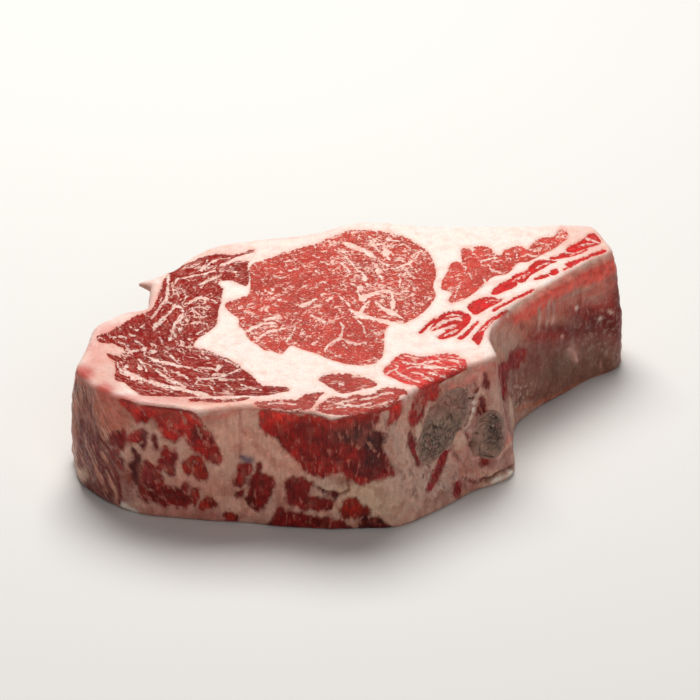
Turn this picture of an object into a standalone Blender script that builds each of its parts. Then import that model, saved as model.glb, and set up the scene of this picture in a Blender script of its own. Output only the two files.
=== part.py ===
"""Raw rib steak on the bone: one thick cut through the muscles, the fat round them and the bones.

The cut lies flat on its underside. Seen from above, +X runs to the rib end, +Y to the back fat and +Z up.
The long side of the steak is along X, and the origin is in the middle of its footprint, on the underside.
All sizes below are millimetres and are turned into metres where the shapes are made.

The body is one loft: a closed outline of the top edge, with the foot of the wall standing out from it or
falling back. Each muscle is a column that runs through the body, cut from it along a plan outline. The fat
is what is left of the body round the muscles and the bones.
"""
import math

import bmesh
import bpy
from mathutils import Vector

MM = 0.001

# Driving sizes of the whole cut.
THICKNESS = 49.6          # a two-inch steak
LEFT_DROP = 1.2           # how much thinner the cap end is than the rib end
EYE_DOME = 0.8            # rise of the top over the eye muscle
WAVE = 0.35               # gentle unevenness of the cut face
TOP_ROUNDING = 2.4        # radius of the upper edge
FOOT_ROUNDING = 1.6       # radius of the lower edge
GAP = 0.3                 # clearance between neighbouring solids
PLAN_SHIFT = (-1.35, -1.22)   # moves the drawing below so that the footprint is centred on the origin

# Bones.
RIB_HALF_WIDTH = 6.5      # across the rib, in plan
RIB_HALF_HEIGHT = 8.2
CHINE_BONE = (33.4, -49.8, 30.6)          # middle of the cut bone in the chine face
CHINE_BONE_RADII = (9.2, 17.0, 15.6)      # along the face, into the meat, upright
CHINE_BONE_TURN = math.radians(44)        # direction of the chine face in plan
CHINE_BONE_LEAN = math.radians(53)        # lean of the bone's long axis in the face

# Levels, as heights above the underside, that the columns of meat run between.
BELOW = -8.0
ABOVE = 62.0
STRIP_FOOT = 34.0         # the rib strips lie over the rib

# Top edge of the steak, anticlockwise from the left end of the front:
# x, y of the edge, how far the foot of the wall stands out from it, and how far the wall bellies.
FRONT_EDGE = [
    (-98.6, -39.4, -0.6, 2.2), (-95.4, -46.4, -1.8, 2.2), (-90.0, -54.2, -2.6, 2.2),
    (-80.8, -61.6, -2.6, 1.6), (-73.0, -65.8, -3.4, 1.4), (-60.8, -69.2, -4.6, 1.4),
    (-54.3, -71.6, -5.8, 1.2), (-47.0, -70.2, -3.6, 1.0), (-36.0, -68.6, -0.6, 0.8),
    (-25.3, -71.1, -0.5, 0.8), (-12.6, -73.4, -1.6, 0.8), (-6.2, -77.0, -4.8, 0.5),
    (0.6, -76.4, -4.4, 0.3), (7.4, -73.2, -1.8, 0.1), (13.4, -69.4, 2.4, 0.0),
]
CHINE_FACE = [
    (17.2, -65.6, 4.8, 0.0), (20.4, -60.6, 6.8, 0.0), (26.0, -54.4, 7.4, -0.6),
    (34.0, -47.2, 7.0, -1.0), (41.8, -40.0, 6.2, -0.8), (49.0, -35.6, 6.0, -0.3),
]
INNER_CORNER = [
    (52.8, -31.0, 7.2, 0.0), (52.2, -25.4, 9.0, -0.8), (50.9, -18.6, 10.0, -1.6),
    (51.4, -11.6, 9.6, -1.8), (54.2, -3.6, 7.4, -0.8), (59.0, 6.0, 3.8, 0.5),
]
RIB_SIDE = [
    (67.6, 17.2, 2.2, 1.6), (78.5, 30.0, 2.4, 1.8), (89.6, 43.8, 3.4, 1.4),
    (96.6, 50.2, 4.6, 1.0),
]
RIB_END = [
    (99.2, 54.0, 4.6, 1.8), (97.4, 61.0, 5.6, 1.8), (95.0, 68.8, 5.4, 1.6), (92.4, 73.4, 4.2, 1.4),
]
BACK_EDGE = [
    (87.0, 74.8, 2.8, 1.0), (78.0, 74.9, 2.0, 1.3), (64.0, 73.1, 1.4, 1.5), (42.7, 72.8, 1.0, 1.5),
    (26.0, 74.0, 1.0, 1.5), (14.4, 76.6, 1.0, 1.5), (5.6, 77.6, 1.0, 1.5), (-2.0, 75.6, 1.0, 1.5),
    (-10.6, 70.2, 1.0, 1.5), (-20.0, 66.0, 1.0, 1.5), (-38.0, 62.0, 1.0, 1.5), (-51.9, 57.0, 1.2, 1.5),
    (-60.3, 48.4, 1.5, 1.5), (-66.4, 39.4, 1.5, 1.4),
]
LEFT_END = [
    (-72.6, 33.0, 2.0, 1.2), (-74.2, 24.0, 2.4, 0.9), (-74.4, 14.6, 3.0, 0.8), (-75.6, 6.4, 3.5, 0.7),
    (-82.4, 3.8, 4.0, 1.2), (-89.8, -2.4, 5.4, 1.6), (-93.8, -8.6, 6.0, 1.8), (-95.0, -17.6, 6.0, 1.8),
    (-96.6, -27.2, 4.4, 2.0),
]
TOP_EDGE = FRONT_EDGE + CHINE_FACE + INNER_CORNER + RIB_SIDE + RIB_END + BACK_EDGE + LEFT_END

# Plan outlines of the muscles, clockwise or anticlockwise, as they show on the top.
EYE_MUSCLE = [
    (-36.5, 35), (-33.5, 43), (-27, 49), (-16, 56.5), (-6, 65), (3, 70), (13, 68.5), (23, 62.5),
    (29, 52.5), (31.6, 41), (31, 29), (31.8, 18), (28, 4), (20, -5), (14, -9), (12.4, -18), (12, -29),
    (8, -37.8), (-2, -38), (-12, -31), (-20, -26), (-26, -29), (-33.5, -22), (-39, -12), (-43, 0),
    (-45.2, 8), (-38, 14), (-36.6, 25),
]
CAP_MUSCLE = [
    (-34, 50.5), (-45, 51), (-53, 49.6), (-58.4, 43), (-64, 35), (-68.6, 26), (-70.2, 13), (-73, 2),
    (-80, -3.6), (-87, -11), (-90.4, -17.4), (-86.5, -24), (-83.5, -34), (-85, -44), (-82, -52.5),
    (-74, -59.6), (-62, -62), (-45, -62), (-32, -61), (-22, -58.6), (-29, -54.5), (-34, -48), (-40, -39),
    (-47, -30), (-54, -26), (-56, -20.5), (-52, -13), (-49.2, -5), (-49.5, 5), (-48.6, 14), (-46.6, 22),
    (-41.4, 27), (-40.6, 36), (-38.4, 44.6),
]
RIB_MUSCLE = [
    (36.6, 14.5), (36, 23), (38.2, 32), (38.6, 41), (42.6, 51), (49, 55.6), (54, 51.5), (57.5, 51),
    (61, 55.6), (67, 57), (71.6, 62.2), (78, 65.2), (80.6, 69.4), (82.4, 66), (79, 58), (73, 51),
    (66, 44), (58.4, 34), (51, 27), (46.6, 18), (41, 13),
]
CHINE_MUSCLE = [
    (13.6, -45.6), (16, -36), (20.4, -30.6), (28, -28.6), (36, -28.6), (41.4, -31), (41.2, -35.6),
    (35.6, -41.4), (28.4, -48), (23, -52.4), (17.6, -50.6),
]
LENS_MUSCLE = [
    (-11.5, -50.4), (-8, -46.6), (-2, -45), (4, -47.4), (9.4, -52.4), (5, -55.4), (-2, -57), (-7.4, -55),
]
FRONT_MUSCLE = [
    (-34.0, -69.4), (-27, -66.4), (-19, -61.8), (-9.4, -59.4), (-7.2, -63.2), (-1, -60.8), (7, -57.8),
    (14.4, -58.0), (16.4, -62.6), (13.4, -72), (12, -90), (-33, -90),
]
FRONT_MUSCLE_FACE = [
    (-44, 70), (-36, 52), (-31, 43), (-24.5, 35), (-19, 27.4), (-12.4, 21.6), (-2, 18.6), (7, 18.2),
    (13.4, 22), (16.6, 30), (18.6, 44), (22, 70),
]
RIB_STRIPS = [
    [(43.6, 5.6), (47, 12), (53.4, 17.2), (56.6, 15.2), (52, 8.4), (46, 1.8)],
    [(52.6, 18.6), (56, 25.4), (61.6, 32), (67.4, 38.6), (71.6, 43.2), (74.6, 43), (70, 37), (65.5, 31.2),
     (60.6, 24.4), (56.4, 19.6)],
    [(75.2, 46.2), (79.4, 52.8), (84, 59), (89, 63.8), (91.6, 63.8), (91.4, 58.6), (87.4, 53.6),
     (81.2, 48.6)],
    [(51.8, 4), (55.8, 10.6), (61.8, 16.8), (67.4, 21.8), (68.2, 20.6), (62.4, 13.8), (56.2, 7)],
    [(44.6, -20), (46.8, -10), (51.6, -1.6), (54.2, -1.4), (50.6, -9), (48, -16), (46.6, -21.4)],
    [(28, -13), (33, -3.4), (39.4, 0.6), (43, -3), (41, -11.4), (34, -16.6)],
]
# Middle line of the rib, from outside the chine face to outside the rib end: x, y, height, swell of the section.
RIB_LINE = [
    (56.2, -48.0, 20.4, 1.16), (49.6, -34.8, 19.8, 1.14), (44.6, -21.0, 19.0, 1.04), (45.4, -7.0, 17.6, 1.0),
    (54.0, 8.6, 15.6, 1.02), (65.6, 24.4, 13.8, 1.04), (79.0, 42.0, 12.8, 1.04), (90.6, 57.4, 12.4, 1.04),
    (107.0, 75.0, 12.4, 1.04),
]

# A small tag of fat that sticks out of the back of the left end, near the top.
FAT_TAG = (-74.6, 30.0, 46.4)
FAT_TAG_RADII = (4.4, 2.4, 2.2)

BODY_CENTRE = (0.0, 2.0)                           # every point of the outline can be seen from here
CAP_RINGS = (0.87, 0.66, 0.42, 0.18)               # rings of the top face, as shares of its outline
WALL_LEVELS = (0.16, 0.38, 0.60, 0.80)             # rings of the wall, as shares of its height

COLOURS = {
    "fat": (0.80, 0.62, 0.53), "eye": (0.45, 0.055, 0.050), "cap": (0.36, 0.040, 0.035),
    "rib": (0.47, 0.050, 0.045), "chine": (0.52, 0.030, 0.030), "front": (0.33, 0.030, 0.025),
    "strip": (0.55, 0.030, 0.035), "bone": (0.36, 0.27, 0.22),
}


def clear_scene():
    """Start from an empty scene."""
    for item in list(bpy.data.objects):
        bpy.data.objects.remove(item, do_unlink=True)


def new_collection(name):
    collection = bpy.data.collections.new(name)
    bpy.context.scene.collection.children.link(collection)
    return collection


def make_material(name, colour, roughness):
    """Moist meat, fat or bone: one plain Principled surface."""
    material = bpy.data.materials.new(name)
    material.use_nodes = True
    shader = material.node_tree.nodes["Principled BSDF"]
    shader.inputs["Base Color"].default_value = (*colour, 1.0)
    shader.inputs["Roughness"].default_value = roughness
    shader.inputs["Metallic"].default_value = 0.0
    material.diffuse_color = (*colour, 1.0)
    return material


def smooth_loop(points, steps):
    """A closed smooth curve through the points, with the given number of steps from each to the next.

    The curve leaves each point in the direction from the one before to the one after, and each stretch is
    only as strongly bent as it is long, so close points make a tight corner without a loop.
    """
    count = len(points)
    directions = []
    for index in range(count):
        before, after = points[index - 1], points[(index + 1) % count]
        reach = math.dist(before[:2], after[:2])
        directions.append([(b - a) / reach for a, b in zip(before, after)])
    curve = []
    for index in range(count):
        start, end = points[index], points[(index + 1) % count]
        leaving, arriving = directions[index], directions[(index + 1) % count]
        length = math.dist(start[:2], end[:2])
        for step in range(steps):
            t = step / steps
            end_share = t * t * (3 - 2 * t)
            leave_share = length * t * (1 - t) ** 2
            arrive_share = length * t * t * (t - 1)
            curve.append(tuple(a + (b - a) * end_share + u * leave_share + v * arrive_share
                               for a, b, u, v in zip(start, end, leaving, arriving)))
    return curve


def outward_normals(outline):
    """Unit vectors that point out of a closed outline, one for each of its points."""
    count = len(outline)
    area = sum(outline[i][0] * outline[(i + 1) % count][1] - outline[(i + 1) % count][0] * outline[i][1]
               for i in range(count))
    side = 1.0 if area > 0 else -1.0
    normals = []
    for index in range(count):
        before, after = outline[index - 1], outline[(index + 1) % count]
        along = Vector((after[0] - before[0], after[1] - before[1])).normalized()
        normals.append(Vector((along.y, -along.x)) * side)
    return normals


def grown(outline, distance):
    """The outline moved out by a distance, or in where the distance is negative."""
    return [(point[0] + normal.x * distance, point[1] + normal.y * distance)
            for point, normal in zip(outline, outward_normals(outline))]


def top_height(x, y):
    """Height of the cut face: lower towards the cap end, domed over the eye, with a slight unevenness."""
    drop = LEFT_DROP * max(0.0, 40.0 - x) / 140.0
    dome = EYE_DOME * math.exp(-((x + 2) / 32) ** 2 - ((y - 16) / 42) ** 2)
    wave = WAVE * (math.sin(x / 13 + 0.6) * math.cos(y / 16) + 0.6 * math.sin((x + 1.7 * y) / 21))
    return THICKNESS - drop + dome + wave


def wall_reach(share, foot, belly):
    """How far the wall stands out from the top edge, at a share of its height above the foot."""
    return foot * (1 - share) ** 1.2 + belly * 4 * share * (1 - share)


def body_rings():
    """Closed rings of points from the middle of the underside, up the wall, to the middle of the top."""
    edge = smooth_loop(TOP_EDGE, 2)
    normals = outward_normals(edge)

    def wall_ring(share, height, inset):
        """One ring; the height is a function of the place, and the inset rounds the edges."""
        ring = []
        for (x, y, foot, belly), normal in zip(edge, normals):
            reach = wall_reach(share, foot, belly) - inset
            place = (x + normal.x * reach, y + normal.y * reach)
            ring.append((*place, height(*place)))
        return ring

    rings = [wall_ring(0.0, lambda x, y: 0.0, FOOT_ROUNDING),
             wall_ring(0.01, lambda x, y: 0.3 * FOOT_ROUNDING, 0.3 * FOOT_ROUNDING),
             wall_ring(0.04, lambda x, y: FOOT_ROUNDING, 0.0)]
    for share in WALL_LEVELS:
        rings.append(wall_ring(share, lambda x, y, s=share: s * top_height(x, y), 0.0))
    rings.append(wall_ring(1.0, lambda x, y: top_height(x, y) - TOP_ROUNDING, 0.0))
    rings.append(wall_ring(1.0, lambda x, y: top_height(x, y) - 0.3 * TOP_ROUNDING, 0.3 * TOP_ROUNDING))
    rim = wall_ring(1.0, top_height, TOP_ROUNDING)
    rings.append(rim)
    for share in CAP_RINGS:
        ring = []
        for x, y, _ in rim:
            place = (BODY_CENTRE[0] + (x - BODY_CENTRE[0]) * share,
                     BODY_CENTRE[1] + (y - BODY_CENTRE[1]) * share)
            ring.append((*place, top_height(*place)))
        rings.append(ring)
    return rings


def metres(x, y, z):
    """A point of the drawing, in metres about the origin."""
    return Vector(((x + PLAN_SHIFT[0]) * MM, (y + PLAN_SHIFT[1]) * MM, z * MM))


def make_body(collection):
    """The whole cut as one closed solid: a loft through its rings, with a flat underside."""
    mesh_maker = bmesh.new()
    rings = [[mesh_maker.verts.new(metres(*point)) for point in ring] for ring in body_rings()]
    count = len(rings[0])
    for lower, upper in zip(rings, rings[1:]):
        for index in range(count):
            following = (index + 1) % count
            mesh_maker.faces.new((lower[index], lower[following], upper[following], upper[index]))
    crown = mesh_maker.verts.new(metres(*BODY_CENTRE, top_height(*BODY_CENTRE)))
    for index in range(count):
        mesh_maker.faces.new((rings[-1][index], rings[-1][(index + 1) % count], crown))
    mesh_maker.faces.new(list(reversed(rings[0])))
    bmesh.ops.triangulate(mesh_maker, faces=mesh_maker.faces[:])
    bmesh.ops.recalc_face_normals(mesh_maker, faces=mesh_maker.faces[:])
    mesh = bpy.data.meshes.new("body")
    mesh_maker.to_mesh(mesh)
    mesh_maker.free()
    body = bpy.data.objects.new("body", mesh)
    collection.objects.link(body)
    return body


def hide_guide(guide):
    guide.hide_render = True
    guide.display_type = "WIRE"


def mesh_of_curve(curve_object, collection):
    """Turn a curve object into a closed mesh object of the same name, with its caps welded on."""
    bpy.context.view_layer.update()
    evaluated = curve_object.evaluated_get(bpy.context.evaluated_depsgraph_get())
    mesh = bpy.data.meshes.new_from_object(evaluated)
    mesh_maker = bmesh.new()
    mesh_maker.from_mesh(mesh)
    bmesh.ops.remove_doubles(mesh_maker, verts=mesh_maker.verts[:], dist=0.00001)
    bmesh.ops.triangulate(mesh_maker, faces=mesh_maker.faces[:])
    bmesh.ops.recalc_face_normals(mesh_maker, faces=mesh_maker.faces[:])
    mesh_maker.to_mesh(mesh)
    mesh_maker.free()
    name = curve_object.name
    matrix = curve_object.matrix_world.copy()
    bpy.data.objects.remove(curve_object, do_unlink=True)
    made = bpy.data.objects.new(name, mesh)
    made.matrix_world = matrix
    collection.objects.link(made)
    hide_guide(made)
    return made


def prism(name, outline, low, high, collection, upright=False):
    """A straight column over a closed outline. An upright one has its outline in the XZ plane."""
    curve = bpy.data.curves.new(name, "CURVE")
    curve.dimensions = "2D"
    curve.fill_mode = "BOTH"
    curve.extrude = (high - low) / 2 * MM
    spline = curve.splines.new("POLY")
    spline.points.add(len(outline) - 1)
    shift = (PLAN_SHIFT[0], 0.0) if upright else PLAN_SHIFT
    for point, (x, y) in zip(spline.points, outline):
        point.co = ((x + shift[0]) * MM, (y + shift[1]) * MM, 0.0, 1.0)
    spline.use_cyclic_u = True
    column = bpy.data.objects.new(name, curve)
    middle = (low + high) / 2 * MM
    if upright:
        column.rotation_euler = (math.radians(90), 0.0, 0.0)
        column.location = (0.0, middle, 0.0)
    else:
        column.location = (0.0, 0.0, middle)
    collection.objects.link(column)
    return mesh_of_curve(column, collection)


def boolean(item, other, operation):
    modifier = item.modifiers.new(operation.lower(), "BOOLEAN")
    modifier.operation = operation
    modifier.object = other
    modifier.solver = "EXACT"


def apply_modifiers(item):
    """Keep the evaluated shape as the object's own mesh."""
    bpy.context.view_layer.update()
    evaluated = item.evaluated_get(bpy.context.evaluated_depsgraph_get())
    mesh = bpy.data.meshes.new_from_object(evaluated)
    item.modifiers.clear()
    item.data = mesh


def muscle_column(name, outline, cutters, growth, low=BELOW, high=ABOVE):
    return prism(name, grown(smooth_loop(outline, 2), growth), low, high, cutters)


def front_muscle_column(name, collection, cutters, growth):
    """The muscle in the front edge shows on the top and on the front wall, so two columns cross in it."""
    column = muscle_column(name, FRONT_MUSCLE, collection, growth)
    face = prism(name + "_face", grown(smooth_loop(FRONT_MUSCLE_FACE, 2), growth), -95.0, -50.0, cutters,
                 upright=True)
    boolean(column, face, "INTERSECT")
    apply_modifiers(column)
    return column


def rib_tube(name, cutters, growth):
    """The rib: a bent tube of oval section that sinks towards the rib end and ends outside both cut faces."""
    curve = bpy.data.curves.new(name, "CURVE")
    curve.dimensions = "3D"
    curve.bevel_depth = (RIB_HALF_WIDTH + growth) * MM
    curve.bevel_resolution = 5
    curve.use_fill_caps = True
    curve.resolution_u = 3
    spline = curve.splines.new("NURBS")
    spline.points.add(len(RIB_LINE) - 1)
    stretch = (RIB_HALF_HEIGHT + growth) / (RIB_HALF_WIDTH + growth)
    for point, (x, y, height, swell) in zip(spline.points, RIB_LINE):
        point.co = (*metres(x, y, height / stretch), 1.0)
        point.radius = swell
    spline.order_u = 3
    spline.use_endpoint_u = True
    tube = bpy.data.objects.new(name, curve)
    tube.scale = (1.0, 1.0, stretch)
    cutters.objects.link(tube)
    return mesh_of_curve(tube, cutters)


def oval_ball(name, centre, radii, segments, collection):
    """A closed ball with three radii of its own."""
    bpy.ops.mesh.primitive_uv_sphere_add(segments=segments, ring_count=segments // 2, radius=1.0)
    ball = bpy.context.active_object
    ball.name = name
    for owner in list(ball.users_collection):
        owner.objects.unlink(ball)
    collection.objects.link(ball)
    ball.scale = [radius * MM for radius in radii]
    ball.location = metres(*centre)
    hide_guide(ball)
    return ball


def chine_ball(name, cutters, growth):
    """The cut vertebra: an oval knob set into the chine face, leaning to the right."""
    ball = oval_ball(name, CHINE_BONE, [radius + growth for radius in CHINE_BONE_RADII], 32, cutters)
    ball.rotation_euler = (0.0, CHINE_BONE_LEAN, CHINE_BONE_TURN)
    return ball


def make_node(name, body, material, shaper, parts, without=()):
    """A piece of the body: what lies inside the shaper, less any neighbours' solids."""
    node = bpy.data.objects.new(name, body.data.copy())
    parts.objects.link(node)
    boolean(node, shaper, "INTERSECT")
    for neighbour in without:
        boolean(node, neighbour, "DIFFERENCE")
    node.data.materials.clear()
    node.data.materials.append(material)
    return node


def main():
    clear_scene()
    parts = new_collection("raw_rib_steak")
    cutters = new_collection("cutters")
    rooms = new_collection("rooms")
    materials = {name: make_material(name, colour, 0.6 if name == "bone" else 0.4)
                 for name, colour in COLOURS.items()}
    body = make_body(cutters)
    boolean(body, oval_ball("fat_tag", FAT_TAG, FAT_TAG_RADII, 12, cutters), "UNION")
    apply_modifiers(body)
    hide_guide(body)

    half_gap = GAP / 2
    columns = [("eye_muscle", EYE_MUSCLE, "eye", BELOW), ("cap_muscle", CAP_MUSCLE, "cap", BELOW),
               ("rib_muscle", RIB_MUSCLE, "rib", BELOW), ("chine_muscle", CHINE_MUSCLE, "chine", STRIP_FOOT),
               ("lens_muscle", LENS_MUSCLE, "eye", BELOW)]
    columns += [(f"rib_strip_{number}", outline, "strip", STRIP_FOOT)
                for number, outline in enumerate(RIB_STRIPS, start=1)]
    rib_tube("rib_room", rooms, half_gap)
    vertebra_room = chine_ball("vertebra_room", rooms, half_gap)
    for name, outline, colour, low in columns:
        shaper = muscle_column(name + "_cut", outline, cutters, -half_gap, low + half_gap)
        neighbours = [vertebra_room] if name == "chine_muscle" else []
        make_node(name, body, materials[colour], shaper, parts, neighbours)
        muscle_column(name + "_room", outline, rooms, half_gap, low - half_gap)
    front_cut = front_muscle_column("front_cut", cutters, cutters, -half_gap)
    make_node("front_muscle", body, materials["front"], front_cut, parts)
    front_muscle_column("front_room", rooms, cutters, half_gap)
    make_node("rib_bone", body, materials["bone"], rib_tube("rib_cut", cutters, -half_gap), parts)
    make_node("vertebra_bone", body, materials["bone"], chine_ball("vertebra_cut", cutters, -half_gap), parts)

    fat = bpy.data.objects.new("fat", body.data.copy())
    parts.objects.link(fat)
    fat.data.materials.clear()
    fat.data.materials.append(materials["fat"])
    cut = fat.modifiers.new("rooms", "BOOLEAN")
    cut.operation = "DIFFERENCE"
    cut.operand_type = "COLLECTION"
    cut.collection = rooms


main()
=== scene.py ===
"""Raw rib steak on the bone: marbled muscles in white fat, with the sawn bones in one side.

Sizes are millimetres in the drawing's own axes, turned into metres where a mesh is made. Places that were
read off the photograph are pixels of its 700 x 700 frame; their names end in _PX.
"""
import math

import bpy
import numpy as np
from mathutils import Euler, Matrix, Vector, noise
from mathutils.bvhtree import BVHTree
from mathutils.geometry import delaunay_2d_cdt


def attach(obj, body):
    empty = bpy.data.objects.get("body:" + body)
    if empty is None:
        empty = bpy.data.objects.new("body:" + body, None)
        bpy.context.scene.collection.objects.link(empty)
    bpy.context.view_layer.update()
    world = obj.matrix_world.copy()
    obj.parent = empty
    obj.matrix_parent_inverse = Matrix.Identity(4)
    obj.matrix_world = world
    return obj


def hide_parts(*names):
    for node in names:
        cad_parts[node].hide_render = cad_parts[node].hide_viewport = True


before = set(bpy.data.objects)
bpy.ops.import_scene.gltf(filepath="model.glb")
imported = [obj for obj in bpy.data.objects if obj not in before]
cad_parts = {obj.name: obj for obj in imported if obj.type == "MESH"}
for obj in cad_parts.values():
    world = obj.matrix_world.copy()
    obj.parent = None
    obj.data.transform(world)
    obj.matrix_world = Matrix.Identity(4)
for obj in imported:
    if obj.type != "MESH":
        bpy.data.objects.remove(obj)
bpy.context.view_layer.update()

MM = 0.001

# ---------------------------------------------------------------- sizes of the cut, as in the part
THICKNESS = 49.6
LEFT_DROP = 1.2
EYE_DOME = 0.8
WAVE = 0.35
TOP_ROUNDING = 2.4
FOOT_ROUNDING = 1.6
PLAN_SHIFT = np.array((-1.35, -1.22))
RIB_HALF_WIDTH = 6.5
RIB_HALF_HEIGHT = 8.2

# Top edge, anticlockwise from the left end of the front: x, y, how far foot and belly of the wall stand out.
FRONT_EDGE = [
    (-98.6, -39.4, -0.6, 2.2), (-95.4, -46.4, -1.8, 2.2), (-90.0, -54.2, -2.6, 2.2),
    (-80.8, -61.6, -2.6, 1.6), (-73.0, -65.8, -3.4, 1.4), (-60.8, -69.2, -4.6, 1.4),
    (-54.3, -71.6, -5.8, 1.2), (-47.0, -70.2, -3.6, 1.0), (-36.0, -68.6, -0.6, 0.8),
    (-25.3, -71.1, -0.5, 0.8), (-12.6, -73.4, -1.6, 0.8), (-6.2, -77.0, -4.8, 0.5),
    (0.6, -76.4, -4.4, 0.3), (7.4, -73.2, -1.8, 0.1), (13.4, -69.4, 2.4, 0.0),
]
CHINE_FACE = [
    (17.2, -65.6, 4.8, 0.0), (20.4, -60.6, 6.8, 0.0), (26.0, -54.4, 7.4, -0.6),
    (34.0, -47.2, 7.0, -1.0), (41.8, -40.0, 6.2, -0.8), (49.0, -35.6, 6.0, -0.3),
]
INNER_CORNER = [
    (52.8, -31.0, 7.2, 0.0), (52.2, -25.4, 9.0, -0.8), (50.9, -18.6, 10.0, -1.6),
    (51.4, -11.6, 9.6, -1.8), (54.2, -3.6, 7.4, -0.8), (59.0, 6.0, 3.8, 0.5),
]
RIB_SIDE = [
    (67.6, 17.2, 2.2, 1.6), (78.5, 30.0, 2.4, 1.8), (89.6, 43.8, 3.4, 1.4),
    (96.6, 50.2, 4.6, 1.0),
]
RIB_END = [
    (99.2, 54.0, 4.6, 1.8), (97.4, 61.0, 5.6, 1.8), (95.0, 68.8, 5.4, 1.6), (92.4, 73.4, 4.2, 1.4),
]
BACK_EDGE = [
    (87.0, 74.8, 2.8, 1.0), (78.0, 74.9, 2.0, 1.3), (64.0, 73.1, 1.4, 1.5), (42.7, 72.8, 1.0, 1.5),
    (26.0, 74.0, 1.0, 1.5), (14.4, 76.6, 1.0, 1.5), (5.6, 77.6, 1.0, 1.5), (-2.0, 75.6, 1.0, 1.5),
    (-10.6, 70.2, 1.0, 1.5), (-20.0, 66.0, 1.0, 1.5), (-38.0, 62.0, 1.0, 1.5), (-51.9, 57.0, 1.2, 1.5),
    (-60.3, 48.4, 1.5, 1.5), (-66.4, 39.4, 1.5, 1.4),
]
LEFT_END = [
    (-72.6, 33.0, 2.0, 1.2), (-74.2, 24.0, 2.4, 0.9), (-74.4, 14.6, 3.0, 0.8), (-75.6, 6.4, 3.5, 0.7),
    (-82.4, 3.8, 4.0, 1.2), (-89.8, -2.4, 5.4, 1.6), (-93.8, -8.6, 6.0, 1.8), (-95.0, -17.6, 6.0, 1.8),
    (-96.6, -27.2, 4.4, 2.0),
]
TOP_EDGE = FRONT_EDGE + CHINE_FACE + INNER_CORNER + RIB_SIDE + RIB_END + BACK_EDGE + LEFT_END

# ---------------------------------------------------------------- the camera
PHOTO_PX = 700
FOCAL_PX = 4500.0
CAMERA_TILT = math.radians(28.0)
CAMERA_DISTANCE = 1669.44
CAMERA_TARGET = np.array((0.0, 8.9, 30.0))      # the middle of the picture, in the drawing
SENSOR = 36.0

FORWARD = np.array((0.0, math.cos(CAMERA_TILT), -math.sin(CAMERA_TILT)))
UPWARD = np.array((0.0, math.sin(CAMERA_TILT), math.cos(CAMERA_TILT)))
CAMERA_PLACE = CAMERA_TARGET - CAMERA_DISTANCE * FORWARD
CUT_FACE_LEVEL = 49.0

# ---------------------------------------------------------------- muscles on the cut face, in pixels
EYE_PX = [
    (246.8, 295.9), (249.8, 292.8), (250.6, 281), (250.6, 276.7), (249, 270.6), (253.7, 263.7),
    (262.8, 260.7), (277.4, 255.3), (288.9, 251.5), (304.2, 246.9), (319.5, 243), (329.3, 238.3),
    (342, 233.8), (349.7, 230.6), (362.4, 230), (377.8, 231.3), (393, 233.8), (407, 238.3), (417.3, 244.6),
    (423.7, 248.5), (430, 254.8), (433.9, 263.8), (436.4, 275.3), (432.6, 286.7), (435.8, 294.4),
    (431.3, 303.3), (423.7, 312.2), (412.2, 319.9), (402, 323.7), (393, 322), (386.7, 328.8), (384, 337.8),
    (383.5, 353), (381, 358), (373.9, 364.2), (361, 365.5), (347, 364), (334.4, 361), (327, 358.6),
    (319.5, 354.8), (311.8, 352.5), (300.3, 348.7), (291.2, 345.6), (286.6, 349.4), (281.2, 354),
    (273.6, 351.7), (264.4, 350.2), (257.5, 344.8), (252, 341.8), (247.5, 337.2), (245.3, 331), (239, 325.7),
    (239, 318.8), (231.5, 313.5), (224.6, 305), (235, 300.5),
]
CAP_PX = [
    (254.3, 250.3), (245.7, 252.2), (233, 255), (217, 254), (203.6, 257), (194, 261), (180, 266.5),
    (171, 271), (164, 280), (160, 291), (155.7, 302), (150, 311), (138, 315), (128.5, 320.5), (121.5, 325.4),
    (116, 328), (108, 333), (97.6, 336), (99, 342.3), (108, 343.7), (115, 349.5), (116.5, 355),
    (106.8, 353.5), (113, 360.5), (116, 369.6), (115.2, 379.5), (124.3, 383), (134, 390.7), (139.7, 395),
    (155, 396.3), (195, 397.2), (222, 396.4), (245, 395.6), (264, 395.8), (279.5, 392.7), (290.2, 389),
    (279.5, 387), (270.3, 386), (260.3, 384.3), (252, 376), (245, 370.6), (239.7, 366), (229.7, 359.8),
    (222.8, 356.8), (216.7, 354.5), (209, 350.7), (199, 348.4), (193.8, 346.8), (194.5, 343), (199, 337.7),
    (206.8, 333), (210.6, 330), (215.8, 325.6), (217.5, 318), (218.4, 310), (221, 303), (221.8, 296),
    (222.7, 288.6), (218, 283), (232, 281), (245.7, 286.2), (249.2, 281), (248.6, 273.3), (248, 263.7),
]
CAP_UNDER_STRIP_PX = [
    (189, 399.8), (200, 398.8), (222.8, 399.4), (236, 398.8), (249, 397.8), (240, 401), (226, 402.2),
    (210, 402.7), (198, 402),
]
RIB_MUSCLE_PX = [
    (440.7, 288), (448.8, 270), (450.5, 264.6), (456.8, 262), (462, 263), (461.3, 250.4), (469.3, 248.6),
    (473, 252), (474.6, 246.8), (485.4, 246.8), (491.6, 249.5), (493.4, 253), (501.4, 255.7), (503, 251.3),
    (519.3, 246), (524.6, 248.6), (527.3, 250.4), (532.7, 244), (541.6, 238), (553, 237), (562, 229),
    (568.4, 236), (559.5, 245), (550.5, 251.3), (543.4, 254), (528, 262), (518.4, 263), (512, 270),
    (506, 274.5), (492.5, 277), (483.6, 286), (465.7, 298.6), (451.4, 303), (448.8, 300.4), (452.3, 293.2),
    (448, 291.4),
]
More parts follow.
